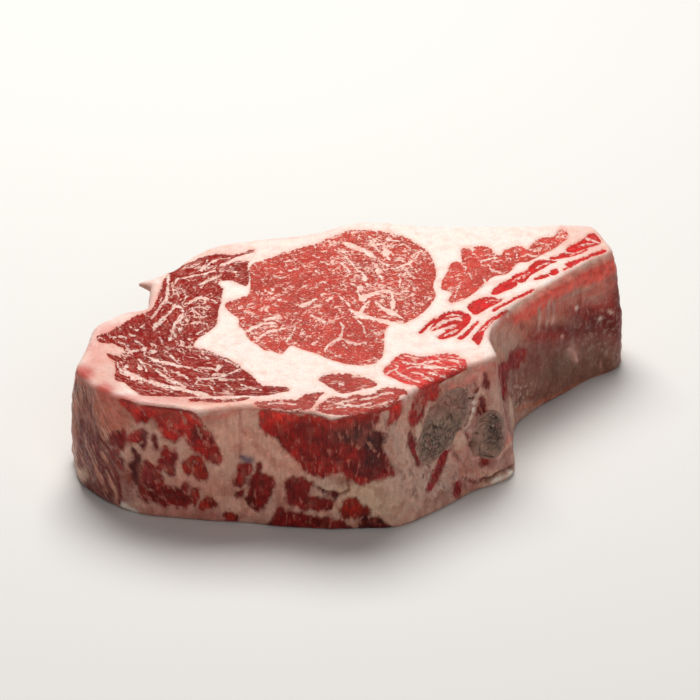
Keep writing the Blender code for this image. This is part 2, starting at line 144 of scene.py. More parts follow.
RIB_STRIPS_PX = [
    [(467, 307), (474, 301), (482, 298), (490, 297), (500, 299), (504, 298.5), (497, 304), (489, 308),
        (481, 312.5), (475, 315), (470, 311)],
    [(491, 294), (494, 289), (500, 284), (506, 281), (511, 279), (516, 281), (517, 285), (511, 289),
        (503, 292), (496, 295)],
    [(511, 279), (515, 275), (521, 273), (527, 270), (531, 265), (537, 261), (545, 260), (552, 260),
        (557, 261.5), (550, 264), (546, 267), (541, 270), (535, 273), (530, 276), (526, 281), (520, 283),
        (515, 281)],
    [(534, 280), (538, 277), (544, 275), (550, 275), (546, 278), (540, 279.5)],
    [(549, 274), (552, 270), (556, 269), (559, 271.5), (556, 275), (551, 275.5)],
    [(565, 265), (570, 262), (577, 260), (583, 257.6), (590, 257), (586, 260), (580, 262), (576, 265),
        (570, 268), (562, 270.5), (568, 267)],
    [(588, 255), (595, 253), (601, 250), (604, 249.6), (607, 251), (603, 254), (597, 255.6), (590, 257)],
    [(566, 250), (570, 246), (577, 243), (584, 239), (589, 234.5), (595, 233.5), (599, 238), (601, 243),
        (596, 245.5), (588, 248), (580, 251), (574, 253), (567, 252)],
    [(549, 259), (556, 256), (562, 254), (566, 253), (574, 253.6), (582, 251.4), (588, 249), (584, 252.4),
        (575, 256), (565, 258), (556, 259.4)],
    [(492, 312), (498, 307), (505, 303), (511, 299.5), (519, 295), (527, 292), (535, 289), (530, 293.5),
        (522, 297), (515, 300.5), (508, 304.5), (500, 308.5)],
    [(472, 340), (474, 335), (478, 331), (481, 327), (486, 323), (490, 319), (496, 316), (502, 312),
        (507, 310), (505, 314), (500, 317), (494, 321), (489, 326), (485, 331), (483, 336), (481, 342),
        (478, 345.6), (475, 342)],
    [(437, 318), (444, 313.6), (450, 311.6), (458, 311), (466, 313), (471, 317), (470, 322), (466, 326.6),
        (461, 331), (457, 335), (450, 337.6), (443, 339.6), (437, 338), (440, 335), (446, 331), (440, 329),
        (434, 331), (430, 330), (433, 325)],
    [(456, 338), (459, 337), (463, 334), (468, 329.6), (473, 325), (478, 320.6), (480, 320.6), (476, 326),
        (471, 331.6), (466, 337), (461, 340)],
    [(419, 333), (424, 327), (430, 321.6), (436, 317.6), (437, 320), (431, 324.6), (426, 330), (421, 334)],
]
CHINE_MUSCLE_PX = [
    (383.3, 372), (390, 364), (397.4, 356.4), (407, 354), (421.4, 357.3), (441.3, 354), (458, 355.6),
    (467, 363), (463.7, 371.4), (461, 380.5), (455.4, 387), (440, 386), (440, 392), (432, 402), (424, 412),
    (412.5, 422), (411.5, 408), (414, 400), (421, 390), (403, 383), (393, 378),
]
LENS_PX = [
    [(319, 379), (330.6, 374), (342.7, 374), (353.6, 374.5), (373, 380.6), (376.7, 385.5), (363.3, 389),
        (342.7, 394), (333, 389), (323.3, 383)],
    [(254.2, 404.2), (268, 401.5), (281, 400), (298, 400), (305, 395), (324.5, 392.5), (319.7, 396.4),
        (314.8, 403.6), (308, 410.6), (296, 411.4), (276, 410)],
    [(316, 410), (322, 403), (334, 396.4), (346.4, 398.8), (353.6, 395.2), (370.6, 395.2), (381.5, 389),
        (393.6, 388), (408, 392.7), (400, 396), (401, 404), (392, 409), (376, 413.4), (356, 415),
        (336, 415)],
]
MUSCLES_PX = {
    "eye": [EYE_PX], "cap": [CAP_PX, CAP_UNDER_STRIP_PX], "rib": [RIB_MUSCLE_PX], "strip": RIB_STRIPS_PX,
    "chine": [CHINE_MUSCLE_PX], "lens": LENS_PX,
}

# Fat that reaches into the muscles on the cut face.
FAT_WEDGES_PX = [
    [(219, 265.6), (228, 261.6), (236, 257), (247, 254), (258, 252), (262, 254), (254, 258.6), (247, 261),
        (236, 261.6), (226, 265)],
    [(110, 343.8), (118, 346.5), (124, 350), (121, 355), (117, 356), (114.6, 350)],
]

# Seams and veins of fat on the cut face: full width in pixels, then the line.
EYE_VEINS_PX = [
    (4.6, [(344, 243), (352, 246), (362, 249.6), (370, 254), (375, 258)]),
    (1.3, [(370, 256), (377, 260), (385, 264.4), (395, 269)]),
    (1.8, [(395, 268), (404, 265), (412, 261), (416, 257), (422, 250.6)]),
    (1.5, [(369, 236), (373, 239), (377, 243), (381, 249)]), (6.5, [(383, 253), (388, 252.5)]),
    (1.5, [(386, 240), (392, 240.7), (399, 240.7)]), (1.2, [(399.6, 245), (404, 243.7), (410, 247.5)]),
    (1.0, [(383.5, 246), (394, 247)]), (1.2, [(393.5, 261), (398, 258), (403.4, 257.5)]),
    (2.0, [(344.5, 254.4), (348, 259), (353, 264.4), (358, 270.5), (363, 273.6), (365, 278)]),
    (5.0, [(364.6, 278), (365, 279)]), (4.6, [(360, 287.6), (360.6, 288.4)]),
    (5.6, [(378, 270.4), (380, 270.8)]), (1.5, [(399, 273.6), (400.3, 279.7), (399.6, 286.6)]),
    (6.0, [(362, 298), (364, 298)]), (1.6, [(366, 298), (369, 297), (376.6, 293.4), (385, 296.5)]),
    (3.4, [(389, 290), (392, 295), (393, 301), (392.4, 308), (390, 312)]),
    (3.4, [(349, 309), (355, 312), (359, 313.5), (363, 309), (366, 304), (369, 301)]),
    (4.6, [(352, 311), (360, 315), (370, 317.6), (380, 320), (390, 323), (400, 327)]),
    (4.0, [(376, 302), (381, 306.5), (387, 310.5), (395, 314), (403, 319)]),
    (3.0, [(357, 291), (360, 296), (366, 297), (373, 293.6), (381, 291), (389, 290.4)]),
    (1.8, [(337, 295), (344.5, 300), (350.6, 307)]),
    (1.4, [(353, 316), (359, 321), (363.6, 328), (366.6, 337)]),
    (2.4, [(340, 338), (348, 341.6), (357, 344), (366, 342.6)]), (1.6, [(343, 343), (347, 349)]),
    (1.6, [(372, 262), (378, 266)]), (2.6, [(370, 240), (374, 245), (379, 251)]),
    (3.0, [(384, 245), (386, 254), (389, 259)]), (2.0, [(376, 272), (381, 277), (384, 282)]),
    (1.8, [(402, 276), (407, 272), (411, 276)]), (1.6, [(409, 262), (412, 268)]),
    (1.5, [(402, 290), (408, 292)]), (1.6, [(414, 268), (418, 273)]),
    (1.6, [(340, 262), (345, 266), (350, 272)]), (1.6, [(351, 283), (356, 286)]),
    (1.5, [(330, 262), (335, 259)]), (1.5, [(366, 283), (371, 286), (376, 284)]),
    (1.6, [(285, 262), (291, 260)]), (1.5, [(301, 288), (306, 285)]), (1.5, [(315, 270), (320, 274)]),
    (1.5, [(265, 290), (270, 293), (275, 292)]), (1.6, [(340, 322), (343, 327), (341, 333)]),
    (1.4, [(372, 330), (377, 334)]), (1.4, [(366, 350), (372, 347)]), (1.5, [(300, 335), (305, 331)]),
    (1.5, [(312, 344), (318, 341)]), (1.4, [(268, 335), (273, 338)]),
    (1.3, [(325.4, 303.4), (327.7, 299.6), (333, 297.3)]), (1.1, [(320, 261.3), (329, 264.4)]),
    (1.1, [(335, 250), (343, 251.4), (348.5, 251.4)]),
    (2.6, [(243, 333.4), (250.6, 329), (258.3, 325.7), (267.4, 323), (276, 323)]),
    (2.2, [(256, 341.8), (262.8, 335), (269.7, 331), (278, 330), (287, 328)]),
    (2.4, [(259.8, 320), (269.7, 318.6), (280, 316.5)]),
    (2.8, [(296.5, 305.8), (301, 305.8), (308, 303.5), (312.6, 300.4), (316.4, 298)]),
    (2.0, [(308.8, 315), (314, 316.5), (318, 318.8), (327, 322.6)]),
    (1.5, [(289, 270.6), (293.5, 269.8), (300, 267.5)]), (1.2, [(246, 307), (249, 304.3), (253.7, 303.5)]),
    (1.2, [(277.4, 299), (282.7, 299.7)]), (1.2, [(272.8, 304.3), (277.4, 305.8)]),
    (1.2, [(264.4, 309), (272, 315)]), (2.0, [(295, 326), (293.5, 332), (290, 337), (286, 341)]),
    (2.8, [(325, 350), (328, 345.6), (333, 342), (340, 338), (342, 331.6), (344, 326)]),
    (1.2, [(311.8, 255.3), (319.5, 257.6)]), (1.2, [(316.4, 283.6), (327, 281.3)]),
    (1.1, [(279.7, 277.5), (286.6, 276.7)]), (1.1, [(270.5, 288), (274.3, 289.7)]),
]
CAP_VEINS_PX = [
    (2.8, [(168.6, 273), (168, 282), (167.6, 292), (166, 303)]),
    (2.4, [(134, 340), (141, 343.7), (144.6, 349), (144.6, 355), (152.4, 359), (160.8, 362), (170.6, 363.3),
        (178.3, 366), (187.7, 367), (195.3, 369.5), (200, 372)]),
    (4.4, [(144, 348.5), (145, 349.5)]), (1.4, [(141, 350), (130.6, 351.4), (126.4, 352.8), (119.4, 348)]),
    (1.3, [(130.6, 351.4), (127, 345), (118.7, 341.6)]),
    (3.0, [(119.4, 369.6), (127, 372.5), (137.6, 376.7), (148, 381)]),
    (3.6, [(148, 381), (162, 385), (176, 388), (186.8, 390.7)]),
    (4.6, [(186.8, 390.7), (195, 393), (203, 394.4), (210.6, 395.6)]), (6.0, [(131, 376), (138, 378.6)]),
    (2.4, [(156, 369.6), (160.8, 374), (165.7, 376.7), (169, 380), (178.3, 383), (184.6, 387)]),
    (3.4, [(163, 317.7), (159.4, 322), (155, 326), (153.8, 330.4)]),
    (2.4, [(183, 313.5), (182.5, 317), (177, 321), (174, 326), (171.3, 331.8)]),
    (1.3, [(172.7, 332.5), (177, 337.4)]), (3.6, [(170, 338.6), (171.4, 339)]),
    (3.0, [(178.6, 329.6), (182.4, 329.4)]), (1.4, [(137.6, 330.4), (144.6, 324)]),
    (1.2, [(130, 326.8), (137.6, 330)]), (1.4, [(151, 343), (156, 345.8), (154.5, 349.3), (149.6, 350.7)]),
    (1.6, [(164.3, 350), (169, 353.5), (175.5, 359.8)]), (3.2, [(125, 366), (127.6, 366.2)]),
    (3.4, [(138, 368), (141.6, 368.4)]), (1.3, [(116.6, 361), (118.7, 368)]),
    (1.3, [(179.7, 339.5), (184.6, 344.4)]), (1.5, [(175.8, 279), (188.3, 277), (203.6, 274), (215, 270.4)]),
    (1.5, [(198.8, 284.8), (209.3, 280), (219, 276)]), (1.4, [(207.4, 260), (203.6, 266.6), (197.8, 271.4)]),
    (1.2, [(197.8, 271.4), (204, 269.4), (211, 266.6)]), (2.4, [(231.6, 272.4), (236, 272)]),
    (1.5, [(188.3, 303), (195, 300), (201.7, 297)]), (1.3, [(202.6, 310.6), (207.4, 315.4)]),
    (2.8, [(174, 305.8), (179.7, 306.8), (183.5, 311.6), (180, 317), (175.8, 323), (172, 329.7)]),
    (1.5, [(166.3, 318.3), (161, 323), (155.7, 327)]), (1.5, [(188.3, 326), (196, 321.6), (207.4, 324)]),
    (1.8, [(197.6, 377.4), (201.4, 379), (214.4, 378.2), (226, 375), (233.6, 372), (241, 368.3),
        (245.8, 366)]),
    (1.2, [(216, 373.6), (226, 374.4)]), (4.2, [(218, 367), (220, 366.6)]),
    (3.6, [(212.6, 375.4), (215.6, 375)]), (1.3, [(200.7, 350.7), (205, 356), (210.6, 359.8)]),
    (1.3, [(193, 386.6), (198.4, 379.7)]), (1.2, [(213, 379), (214.4, 385)]),
    (1.6, [(188, 397.6), (205, 397.4), (225, 397.4), (249, 396.4)]),
    (1.9, [(155, 327), (160, 320.6), (167, 315), (173, 308), (176, 303)]),
    (1.7, [(150, 320), (156, 312), (160, 306), (165, 300)]),
    (1.8, [(190, 301), (199, 297.6), (208, 299), (217, 302)]), (1.4, [(184, 290), (186, 297), (183, 302)]),
    (1.4, [(203, 350.6), (214, 354), (224, 359), (236, 365), (244, 369)]),
    (1.5, [(200, 380), (214, 378), (230, 380), (246, 378.6)]), (1.8, [(137, 358), (143, 364), (147, 371)]),
    (1.7, [(199, 367), (209, 368), (218, 371)]), (1.5, [(240, 384), (250, 388), (261, 389)]),
    (1.6, [(163, 366), (166, 372), (170, 376)]), (1.5, [(176, 372), (183, 375), (190, 380)]),
    (1.4, [(207, 383), (212, 388), (215, 393)]), (1.4, [(226, 384), (232, 389)]),
    (1.4, [(150, 354), (156, 351)]), (1.6, [(205, 268), (212, 262), (222, 258)]),
    (1.4, [(176, 290), (179, 296)]), (1.5, [(172, 285), (174, 293)]),
    (1.4, [(192, 308), (197, 313), (203, 317)]), (1.4, [(160, 337), (163, 344)]),
    (1.4, [(128, 334), (135, 336)]), (1.4, [(112, 337), (120, 336), (127, 338)]),
    (1.6, [(196, 334), (203, 331)]), (1.4, [(188, 338), (193, 344)]),
]
RIB_VEINS_PX = [
    (1.5, [(455, 297.7), (457, 290), (460.4, 282.5)]), (1.4, [(468.4, 271.8), (472, 279)]),
    (1.8, [(480, 262), (486, 259.6), (492.5, 258.4), (497, 257.5)]),
    (1.5, [(489.8, 264.6), (490.7, 269), (498, 271.8), (504, 274.5)]),
    (1.5, [(483.6, 279), (485.4, 282.5), (478, 290.5)]), (1.4, [(516.6, 253), (517.5, 259.3)]),
    (1.4, [(527.3, 254), (532, 255.6), (537, 256.6)]), (1.2, [(462, 264), (466, 268), (464, 274)]),
    (1.2, [(473, 253), (478, 257), (481, 262)]), (1.1, [(540, 242), (548, 244.6), (557, 242)]),
    (3.2, [(431, 330), (438, 325), (446, 321), (455, 318.6), (461, 319)]),
    (2.8, [(434, 334), (441, 330), (449, 327), (457, 325.6)]), (1.8, [(445, 335), (452, 332), (459, 329)]),
    (1.6, [(447, 316.4), (454, 315), (462, 316)]), (1.5, [(585, 238), (592, 240), (600, 243)]),
    (1.3, [(578, 246), (586, 244), (594, 243)]), (1.3, [(513, 281), (522, 276), (530, 272)]),
    (1.2, [(536, 268), (544, 264), (552, 262)]), (1.3, [(478, 333), (486, 327), (494, 319)]),
    (1.2, [(486, 302), (494, 300), (500, 300)]),
]
CHINE_VEINS_PX = [
    (1.7, [(401.5, 362), (410, 363.6), (419.8, 364), (430, 361.4), (440.5, 360.6)]),
    (2.0, [(407, 368), (418, 366.6), (428, 367), (436, 367.2), (444.6, 368), (458, 369.7)]),
    (1.8, [(395, 369.7), (400, 374), (405, 376.3), (412, 379.4), (419.8, 381.3)]),
    (1.8, [(428, 372), (438, 375), (448.8, 378.8)]), (4.2, [(445.6, 378), (447.6, 383), (443, 385.4)]),
    (1.4, [(412, 372), (420, 373.6), (426, 377), (432, 381)]),
    (1.3, [(448, 358.6), (456, 360.6), (461, 364)]), (1.6, [(398, 367), (391, 371), (386, 374)]),
]
LENS_VEINS_PX = [
    (3.2, [(339, 384.4), (344, 383.6)]), (1.6, [(268, 404), (280, 403), (296, 404)]),
    (2.2, [(327, 401), (338, 403.6), (346, 401), (356, 399.4)]),
    (2.0, [(336, 407), (348, 405.4), (360, 405.6), (372, 402)]),
    (2.0, [(360, 399), (372, 397.6), (384, 393.6), (394, 392.4)]),
    (1.8, [(378, 407), (386, 402.6), (396, 399.6)]),
    (2.0, [(272, 409.6), (290, 410.6), (306, 410.4), (318, 408.4)]),
]
VEINS_PX = EYE_VEINS_PX + CAP_VEINS_PX + RIB_VEINS_PX + CHINE_VEINS_PX + LENS_VEINS_PX

# ---------------------------------------------------------------- patches on the wall, in pixels
# Lean that shows on the front, with its tint.
WALL_LEAN_PX = [
    ("bright", [(119, 401), (128, 402), (134, 404), (141, 407), (147, 404), (155, 405), (162, 406),
        (170, 407), (176, 408.5), (180, 412), (185, 411), (190, 414), (194, 420), (198, 422), (201, 425),
        (204, 430), (209, 432), (213, 436), (215, 441), (219, 448), (220.5, 455), (221, 460), (218, 464),
        (215, 461), (213, 464), (210, 459), (207, 461), (204, 456), (201, 455), (196, 453), (192, 451),
        (190, 448), (188, 443), (186, 437), (183, 436), (180, 436), (178, 440), (174, 443), (170, 440),
        (166, 440), (164, 437), (160, 431), (157, 427), (156, 421), (152, 416.5), (148, 418), (146, 421),
        (141, 420), (137, 423), (134, 420), (131, 415), (129, 410), (125, 406), (121, 404)]),
    ("deep", [(196, 424), (204, 432), (213, 440), (218, 450), (217, 458), (206, 452), (200, 446),
        (192, 446), (189, 436), (190, 428)]),
    ("dull", [(111, 435), (114, 433), (120, 432), (124, 430), (125, 436), (126, 444), (123, 449),
        (119, 448), (116, 445), (112, 444), (110, 440)]),
    ("bright", [(129, 434), (134, 431), (140, 430), (145, 431), (147, 433), (147, 440), (146, 446),
        (142, 447), (139, 443), (134, 443), (130, 441)]),
    ("dark", [(140, 432), (145, 431), (147, 433), (147, 440), (146, 446), (142, 447), (139.6, 441)]),
    ("dark", [(153.6, 433.6), (156, 435), (157.6, 440), (157, 448.6), (154, 448.6), (153, 443)]),
    ("dull", [(111, 451), (115, 448.6), (120, 451), (119, 454.6), (115, 458), (112, 459), (110.6, 456)]),
    ("dull", [(118, 461), (122, 458), (123, 465), (120, 468), (117.6, 466)]),
    ("dark", [(131, 449), (134, 450), (136, 455), (139, 456), (140, 462), (140, 470), (138, 476),
        (138, 486), (135, 486), (133, 478), (133, 470), (131, 463), (131, 456)]),
    ("dull", [(143, 463), (146, 461), (151, 463), (154, 465), (153.6, 472), (155, 480), (156, 487),
        (152, 489), (147, 487), (143, 482), (141, 476), (140, 470)]),
    ("deep", [(164, 447), (167, 448), (169, 452), (173, 450), (175, 457), (175, 465), (173, 474),
        (170, 477.6), (167, 475), (164, 471), (161, 472), (160, 475), (162, 480), (163, 483), (160, 487),
        (157, 484), (156, 476), (155.6, 468), (158, 462), (162, 457), (163.6, 452)]),
    ("orange", [(184, 463), (190, 457), (194, 456), (200, 456), (204, 460), (206, 466), (207, 474),
        (206, 479), (201, 479), (196, 478), (194, 473), (190, 475), (185, 474), (183, 469)]),
    ("dull", [(140, 497), (144, 495), (147, 491), (152, 491), (158, 490), (160, 487), (166, 486),
        (172, 488), (178, 490), (182, 491), (183, 495), (187, 498), (191, 498), (195, 499), (196, 502),
        (192, 506), (188, 505), (186, 507), (182, 504), (178, 506), (173, 505), (168, 506), (165, 508),
        (161, 505), (157, 502), (152, 503), (147, 501), (143, 500)]),
    ("dull", [(182, 486), (185, 483), (188, 484), (189, 488), (187, 492), (183, 491), (181, 489)]),
    ("orange", [(193, 488), (197, 488), (199, 493), (199, 499), (195, 500), (192, 497)]),
    ("orange", [(201, 502), (204, 498.6), (210, 498), (214, 501), (217, 505), (214, 508), (209, 507),
        (206, 510), (202, 511), (200, 508)]),
    ("orange", [(225, 516), (228, 513), (234, 515), (239, 518), (234, 521), (227, 519)]),
    ("dull", [(136, 480), (140, 482), (145, 488), (146, 492), (143, 498), (139, 496), (138, 490)]),
    ("deep", [(240, 466), (245, 464), (250, 466), (252, 467), (249, 472), (246, 478), (243, 483),
        (238, 486), (235, 485), (237, 477), (238, 471)]),
    ("dull", [(234, 494), (238, 491), (243, 491), (245, 494), (242, 498), (237, 498)]),
    ("dull", [(257, 463), (261, 464), (262, 468), (260, 472), (266, 474), (271, 477), (273, 482),
        (275, 487), (271, 490), (270, 496), (267, 502), (264, 508), (259, 512), (255, 509), (250, 507),
        (245, 503), (244, 499), (247, 495), (248, 490), (250, 483), (253, 476), (256, 470)]),
    ("bright", [(261, 411), (270, 411), (280, 412.5), (290, 414.5), (300, 416), (310, 415), (320, 417),
        (326, 419), (330, 422), (336, 420), (342, 418), (350, 416), (360, 414), (370, 412), (374, 413),
        (377, 418), (374, 423), (371, 428), (374, 431), (380, 433), (384, 434), (382, 440), (383, 450),
        (385, 456), (390, 462), (394, 470), (396, 474), (390, 477), (380, 478), (372, 481), (363, 483),
        (356, 481), (350, 478), (345, 474), (338, 473), (330, 474), (322, 477), (314, 474), (308, 471),
        (303, 468), (299, 462), (294, 456), (290, 452), (285, 448), (282, 443), (278, 438), (272, 437),
        (266, 434), (262, 428), (260, 420)]),
    ("deep", [(292, 424), (312, 420), (330, 428), (342, 440), (362, 450), (384, 456), (390, 470),
        (376, 478), (356, 478), (340, 470), (322, 472), (308, 464), (298, 448)]),
    ("dusk", [(330, 424), (345, 426), (358, 424), (368, 422), (374, 420), (372, 428), (376, 434),
        (383, 436), (382, 448), (380, 452), (366, 450), (352, 446), (345, 444), (335, 448), (328, 440)]),
    ("dark", [(356, 452), (372, 453), (384, 456), (391, 464), (388, 472), (374, 470), (362, 462)]),
    ("tan", [(350, 432), (357, 430), (363, 434), (361, 440), (354, 441)]),
    ("dull", [(283, 482), (288, 479), (294, 479), (300, 478), (304, 480), (309, 481), (312, 483),
        (310, 486), (307, 491), (306, 496), (310, 498), (318, 497), (325, 499), (330, 500), (333, 504),
        (331, 509), (326, 510), (318, 510), (308, 509), (300, 508), (293, 506), (288, 503), (286, 499),
        (289, 494), (286, 488)]),
    ("dark", [(320, 487), (326, 490), (331, 492), (336, 494), (335, 498), (330, 499), (326, 494)]),
    ("dull", [(268, 528), (272, 522), (275, 514), (280, 509), (286, 512), (292, 511), (300, 513),
        (308, 515), (316, 517), (322, 519), (330, 518), (334, 520), (342, 522), (348, 526), (352, 530),
        (345, 536), (320, 538), (295, 537), (275, 533)]),
    ("orange", [(338, 510), (342, 507), (346, 502), (351, 499), (356, 501), (361, 505), (366, 508),
        (370, 509), (372, 513), (370, 516), (364, 517), (356, 518), (350, 516), (344, 518), (341, 514)]),
    ("dark", [(358, 526), (362, 519), (370, 518), (378, 519), (384, 523), (390, 527), (396, 531),
        (385, 535), (372, 534), (362, 532)]),
    ("bright", [(391, 402), (400, 402), (399, 410), (397, 417), (393, 421), (389, 425), (386, 428),
        (387, 421), (391, 416)]),
    ("bright", [(421, 391), (431, 385), (438, 385), (434, 394), (429, 397), (426, 402), (424, 408),
        (420, 414), (418, 420), (414, 426), (411, 424), (410, 416), (412, 408), (416, 400)]),
    ("dull", [(408.6, 435), (413, 434), (414.4, 442), (415, 450), (418, 458), (419, 464), (415, 460),
        (412, 453), (409, 446)]),
    ("wine", [(446, 448), (449.6, 447.6), (447, 454), (444, 462), (440.6, 470), (438, 477), (435, 484),
        (432, 490.6), (428.6, 490), (431, 482), (434, 474), (438, 464), (441.6, 455)]),
    ("dull", [(455, 392), (461, 391), (464, 396), (459, 400), (455, 398)]),
    ("dull", [(479, 398), (483, 396), (486.4, 403), (485.6, 410), (480, 415), (477.6, 410), (480.6, 404)]),
    ("dull", [(485, 380), (488, 382), (489, 388), (486, 389), (484, 384)]),
    ("dull", [(481, 460), (485, 457.6), (489, 460), (488, 463.6), (484, 466), (481.6, 463)]),
    ("wine", [(456, 483), (461, 483), (462.6, 489), (460, 496), (455, 497), (454.6, 490)]),
    ("wine", [(511, 355), (516, 350.6), (526, 350), (524, 357), (519, 363), (513.6, 369), (509.6, 371),
        (509, 362)]),
    ("wine", [(499.6, 366), (505, 364), (509.4, 363), (508.6, 372), (506, 382), (504.4, 397), (502, 386),
        (500, 375)]),
    ("bright", [(412.5, 418), (415, 425), (422.5, 413), (428, 404), (438, 397), (440, 389), (435, 385),
        (422.5, 391), (415, 402)]),
    ("orange", [(579, 312), (585, 308), (590, 310), (590, 315), (585, 318), (579, 316)]),
]

# Thin lines of fat on the front, and a few painted glints: full width in pixels, then the line.
WALL_VEINS_AND_GLINTS_PX = [
    # The line from 366 to 376 across is a painted highlight on the wet membrane.
    (3.2, [(366, 440), (371, 446), (376, 451)]), (2.8, [(374, 424), (379, 430)]),
    (2.8, [(357, 446), (361, 450)]), (2.8, [(424, 396), (420, 404), (417, 411)]),
    (3.2, [(180, 411), (184, 419), (187, 426)]), (3.0, [(195, 424), (199, 432), (203, 441), (206, 451)]),
    (4.6, [(168, 421), (171, 426)]), (2.8, [(138, 445.6), (143, 440.6)]), (4.0, [(170, 449), (172, 452)]),
    (2.8, [(193, 464), (192.6, 472), (192, 479)]), (2.8, [(195, 461), (196.6, 464)]),
    # The line from 367 to 373 across is a painted highlight on the wet membrane.
    (4.0, [(367, 441), (370, 445), (373, 449)]), (2.8, [(417.4, 402), (414.6, 411)]),
    # The dots at 611 and 604 across, on this line and the next, are painted glints.
    (3.0, [(425, 401), (421, 408), (418, 416)]), (2.8, [(611, 308), (611, 310)]),
    (2.8, [(604, 315), (604, 317)]),
]

# Colour of the fat and of the membranes over the wall: middle, reach across and upright, tint, strength.
WALL_ZONES_PX = [
    ((88, 452), (16, 46), "strand", 1.0), ((104, 480), (18, 24), "strand", 1.0),
    ((106, 410), (17, 17), "membrane", 1.0), ((119, 424), (8, 14), "membrane", 0.9),
    ((73, 440), (3.6, 44), "tan_rim", 0.9), ((80, 476), (6, 7), "cream", 0.9),
    ((128, 478), (6, 9), "tan_fat", 1.0), ((128, 496), (8, 10), "mauve", 0.9),
    ((130, 509), (12, 5), "cream", 1.0), ((150, 455), (14, 9), "sinew", 0.5),
    ((158, 512), (44, 7), "dusty", 1.0), ((206, 516), (30, 6), "dusty", 1.0),
    ((216, 425), (12, 20), "sinew", 0.5), ((235, 424), (18, 22), "blush", 1.0),
    ((262, 448), (18, 18), "blush", 1.0), ((248, 460), (6, 4), "slate", 0.9),
    ((215, 492), (20, 16), "sinew", 0.7), ((190, 485), (14, 12), "dusty", 0.7),
    ((240, 506), (16, 8), "blush", 0.8), ((290, 466), (16, 9), "blush", 0.9),
    ((286, 500), (10, 16), "sinew", 0.7), ((322, 488), (10, 7), "cream", 0.6),
    ((344, 484), (5, 6), "tan_fat", 0.8), ((376, 500), (34, 18), "straw", 1.0),
    ((360, 488), (16, 8), "straw", 0.9), ((352, 480), (16, 4), "drab", 0.6),
    ((396, 440), (9, 34), "grey_fat", 1.0), ((386, 418), (8, 10), "cream", 0.5),
    ((404, 416), (6, 18), "blush", 0.8), ((408, 484), (22, 22), "grey_fat", 0.9),
    ((447, 474), (8, 26), "bone_grey", 0.8), ((424, 486), (14, 20), "grey_fat", 0.7),
    ((458, 440), (6, 10), "cream", 0.4), ((470, 405), (6, 22), "mauve", 0.8),
    ((466, 468), (14, 18), "dusty", 0.7), ((490, 372), (14, 12), "rosy", 0.9),
    ((497, 395), (9, 16), "bone_grey", 0.35), ((507, 420), (5, 34), "mauve", 0.7),
    ((476, 438), (7, 18), "mauve", 0.7), ((496, 464), (22, 8), "mauve", 0.6),
    ((482, 476), (12, 6), "blush", 0.9), ((502, 478), (14, 4.5), "cream", 1.0),
    ((516, 320), (14, 16), "rosy", 0.7), ((514, 340), (11, 16), "grey_fat", 0.8),
    ((536, 322), (22, 18), "membrane", 1.0), ((560, 308), (14, 10), "membrane", 0.8),
    ((566, 296), (26, 8), "ashen", 0.8), ((604, 284), (16, 8), "ashen", 0.7),
    ((590, 310), (26, 9), "brick", 0.95), ((614, 304), (12, 26), "brick", 0.9),
    ((572, 332), (34, 9), "bruise", 1.0), ((600, 322), (22, 9), "bruise", 1.0),
    ((546, 340), (17, 7), "brick", 0.95), ((560, 348), (30, 7), "plum", 0.8),
    ((602, 336), (24, 14), "bruise", 0.5), ((600, 342), (22, 10), "plum", 0.5),
    ((556, 372), (44, 20), "drab", 1.0), ((600, 360), (26, 14), "drab", 1.0),
    ((536, 360), (16, 12), "plum", 0.8), ((520, 390), (9, 16), "plum", 0.6),
    ((545, 395), (24, 6), "brown", 0.9), ((590, 382), (30, 6), "brown", 0.7),
    ((558, 366), (12, 9), "stone", 0.8), ((574, 352), (5, 7), "ashen", 0.6),
    ((620, 310), (5, 34), "blood", 0.95),
]
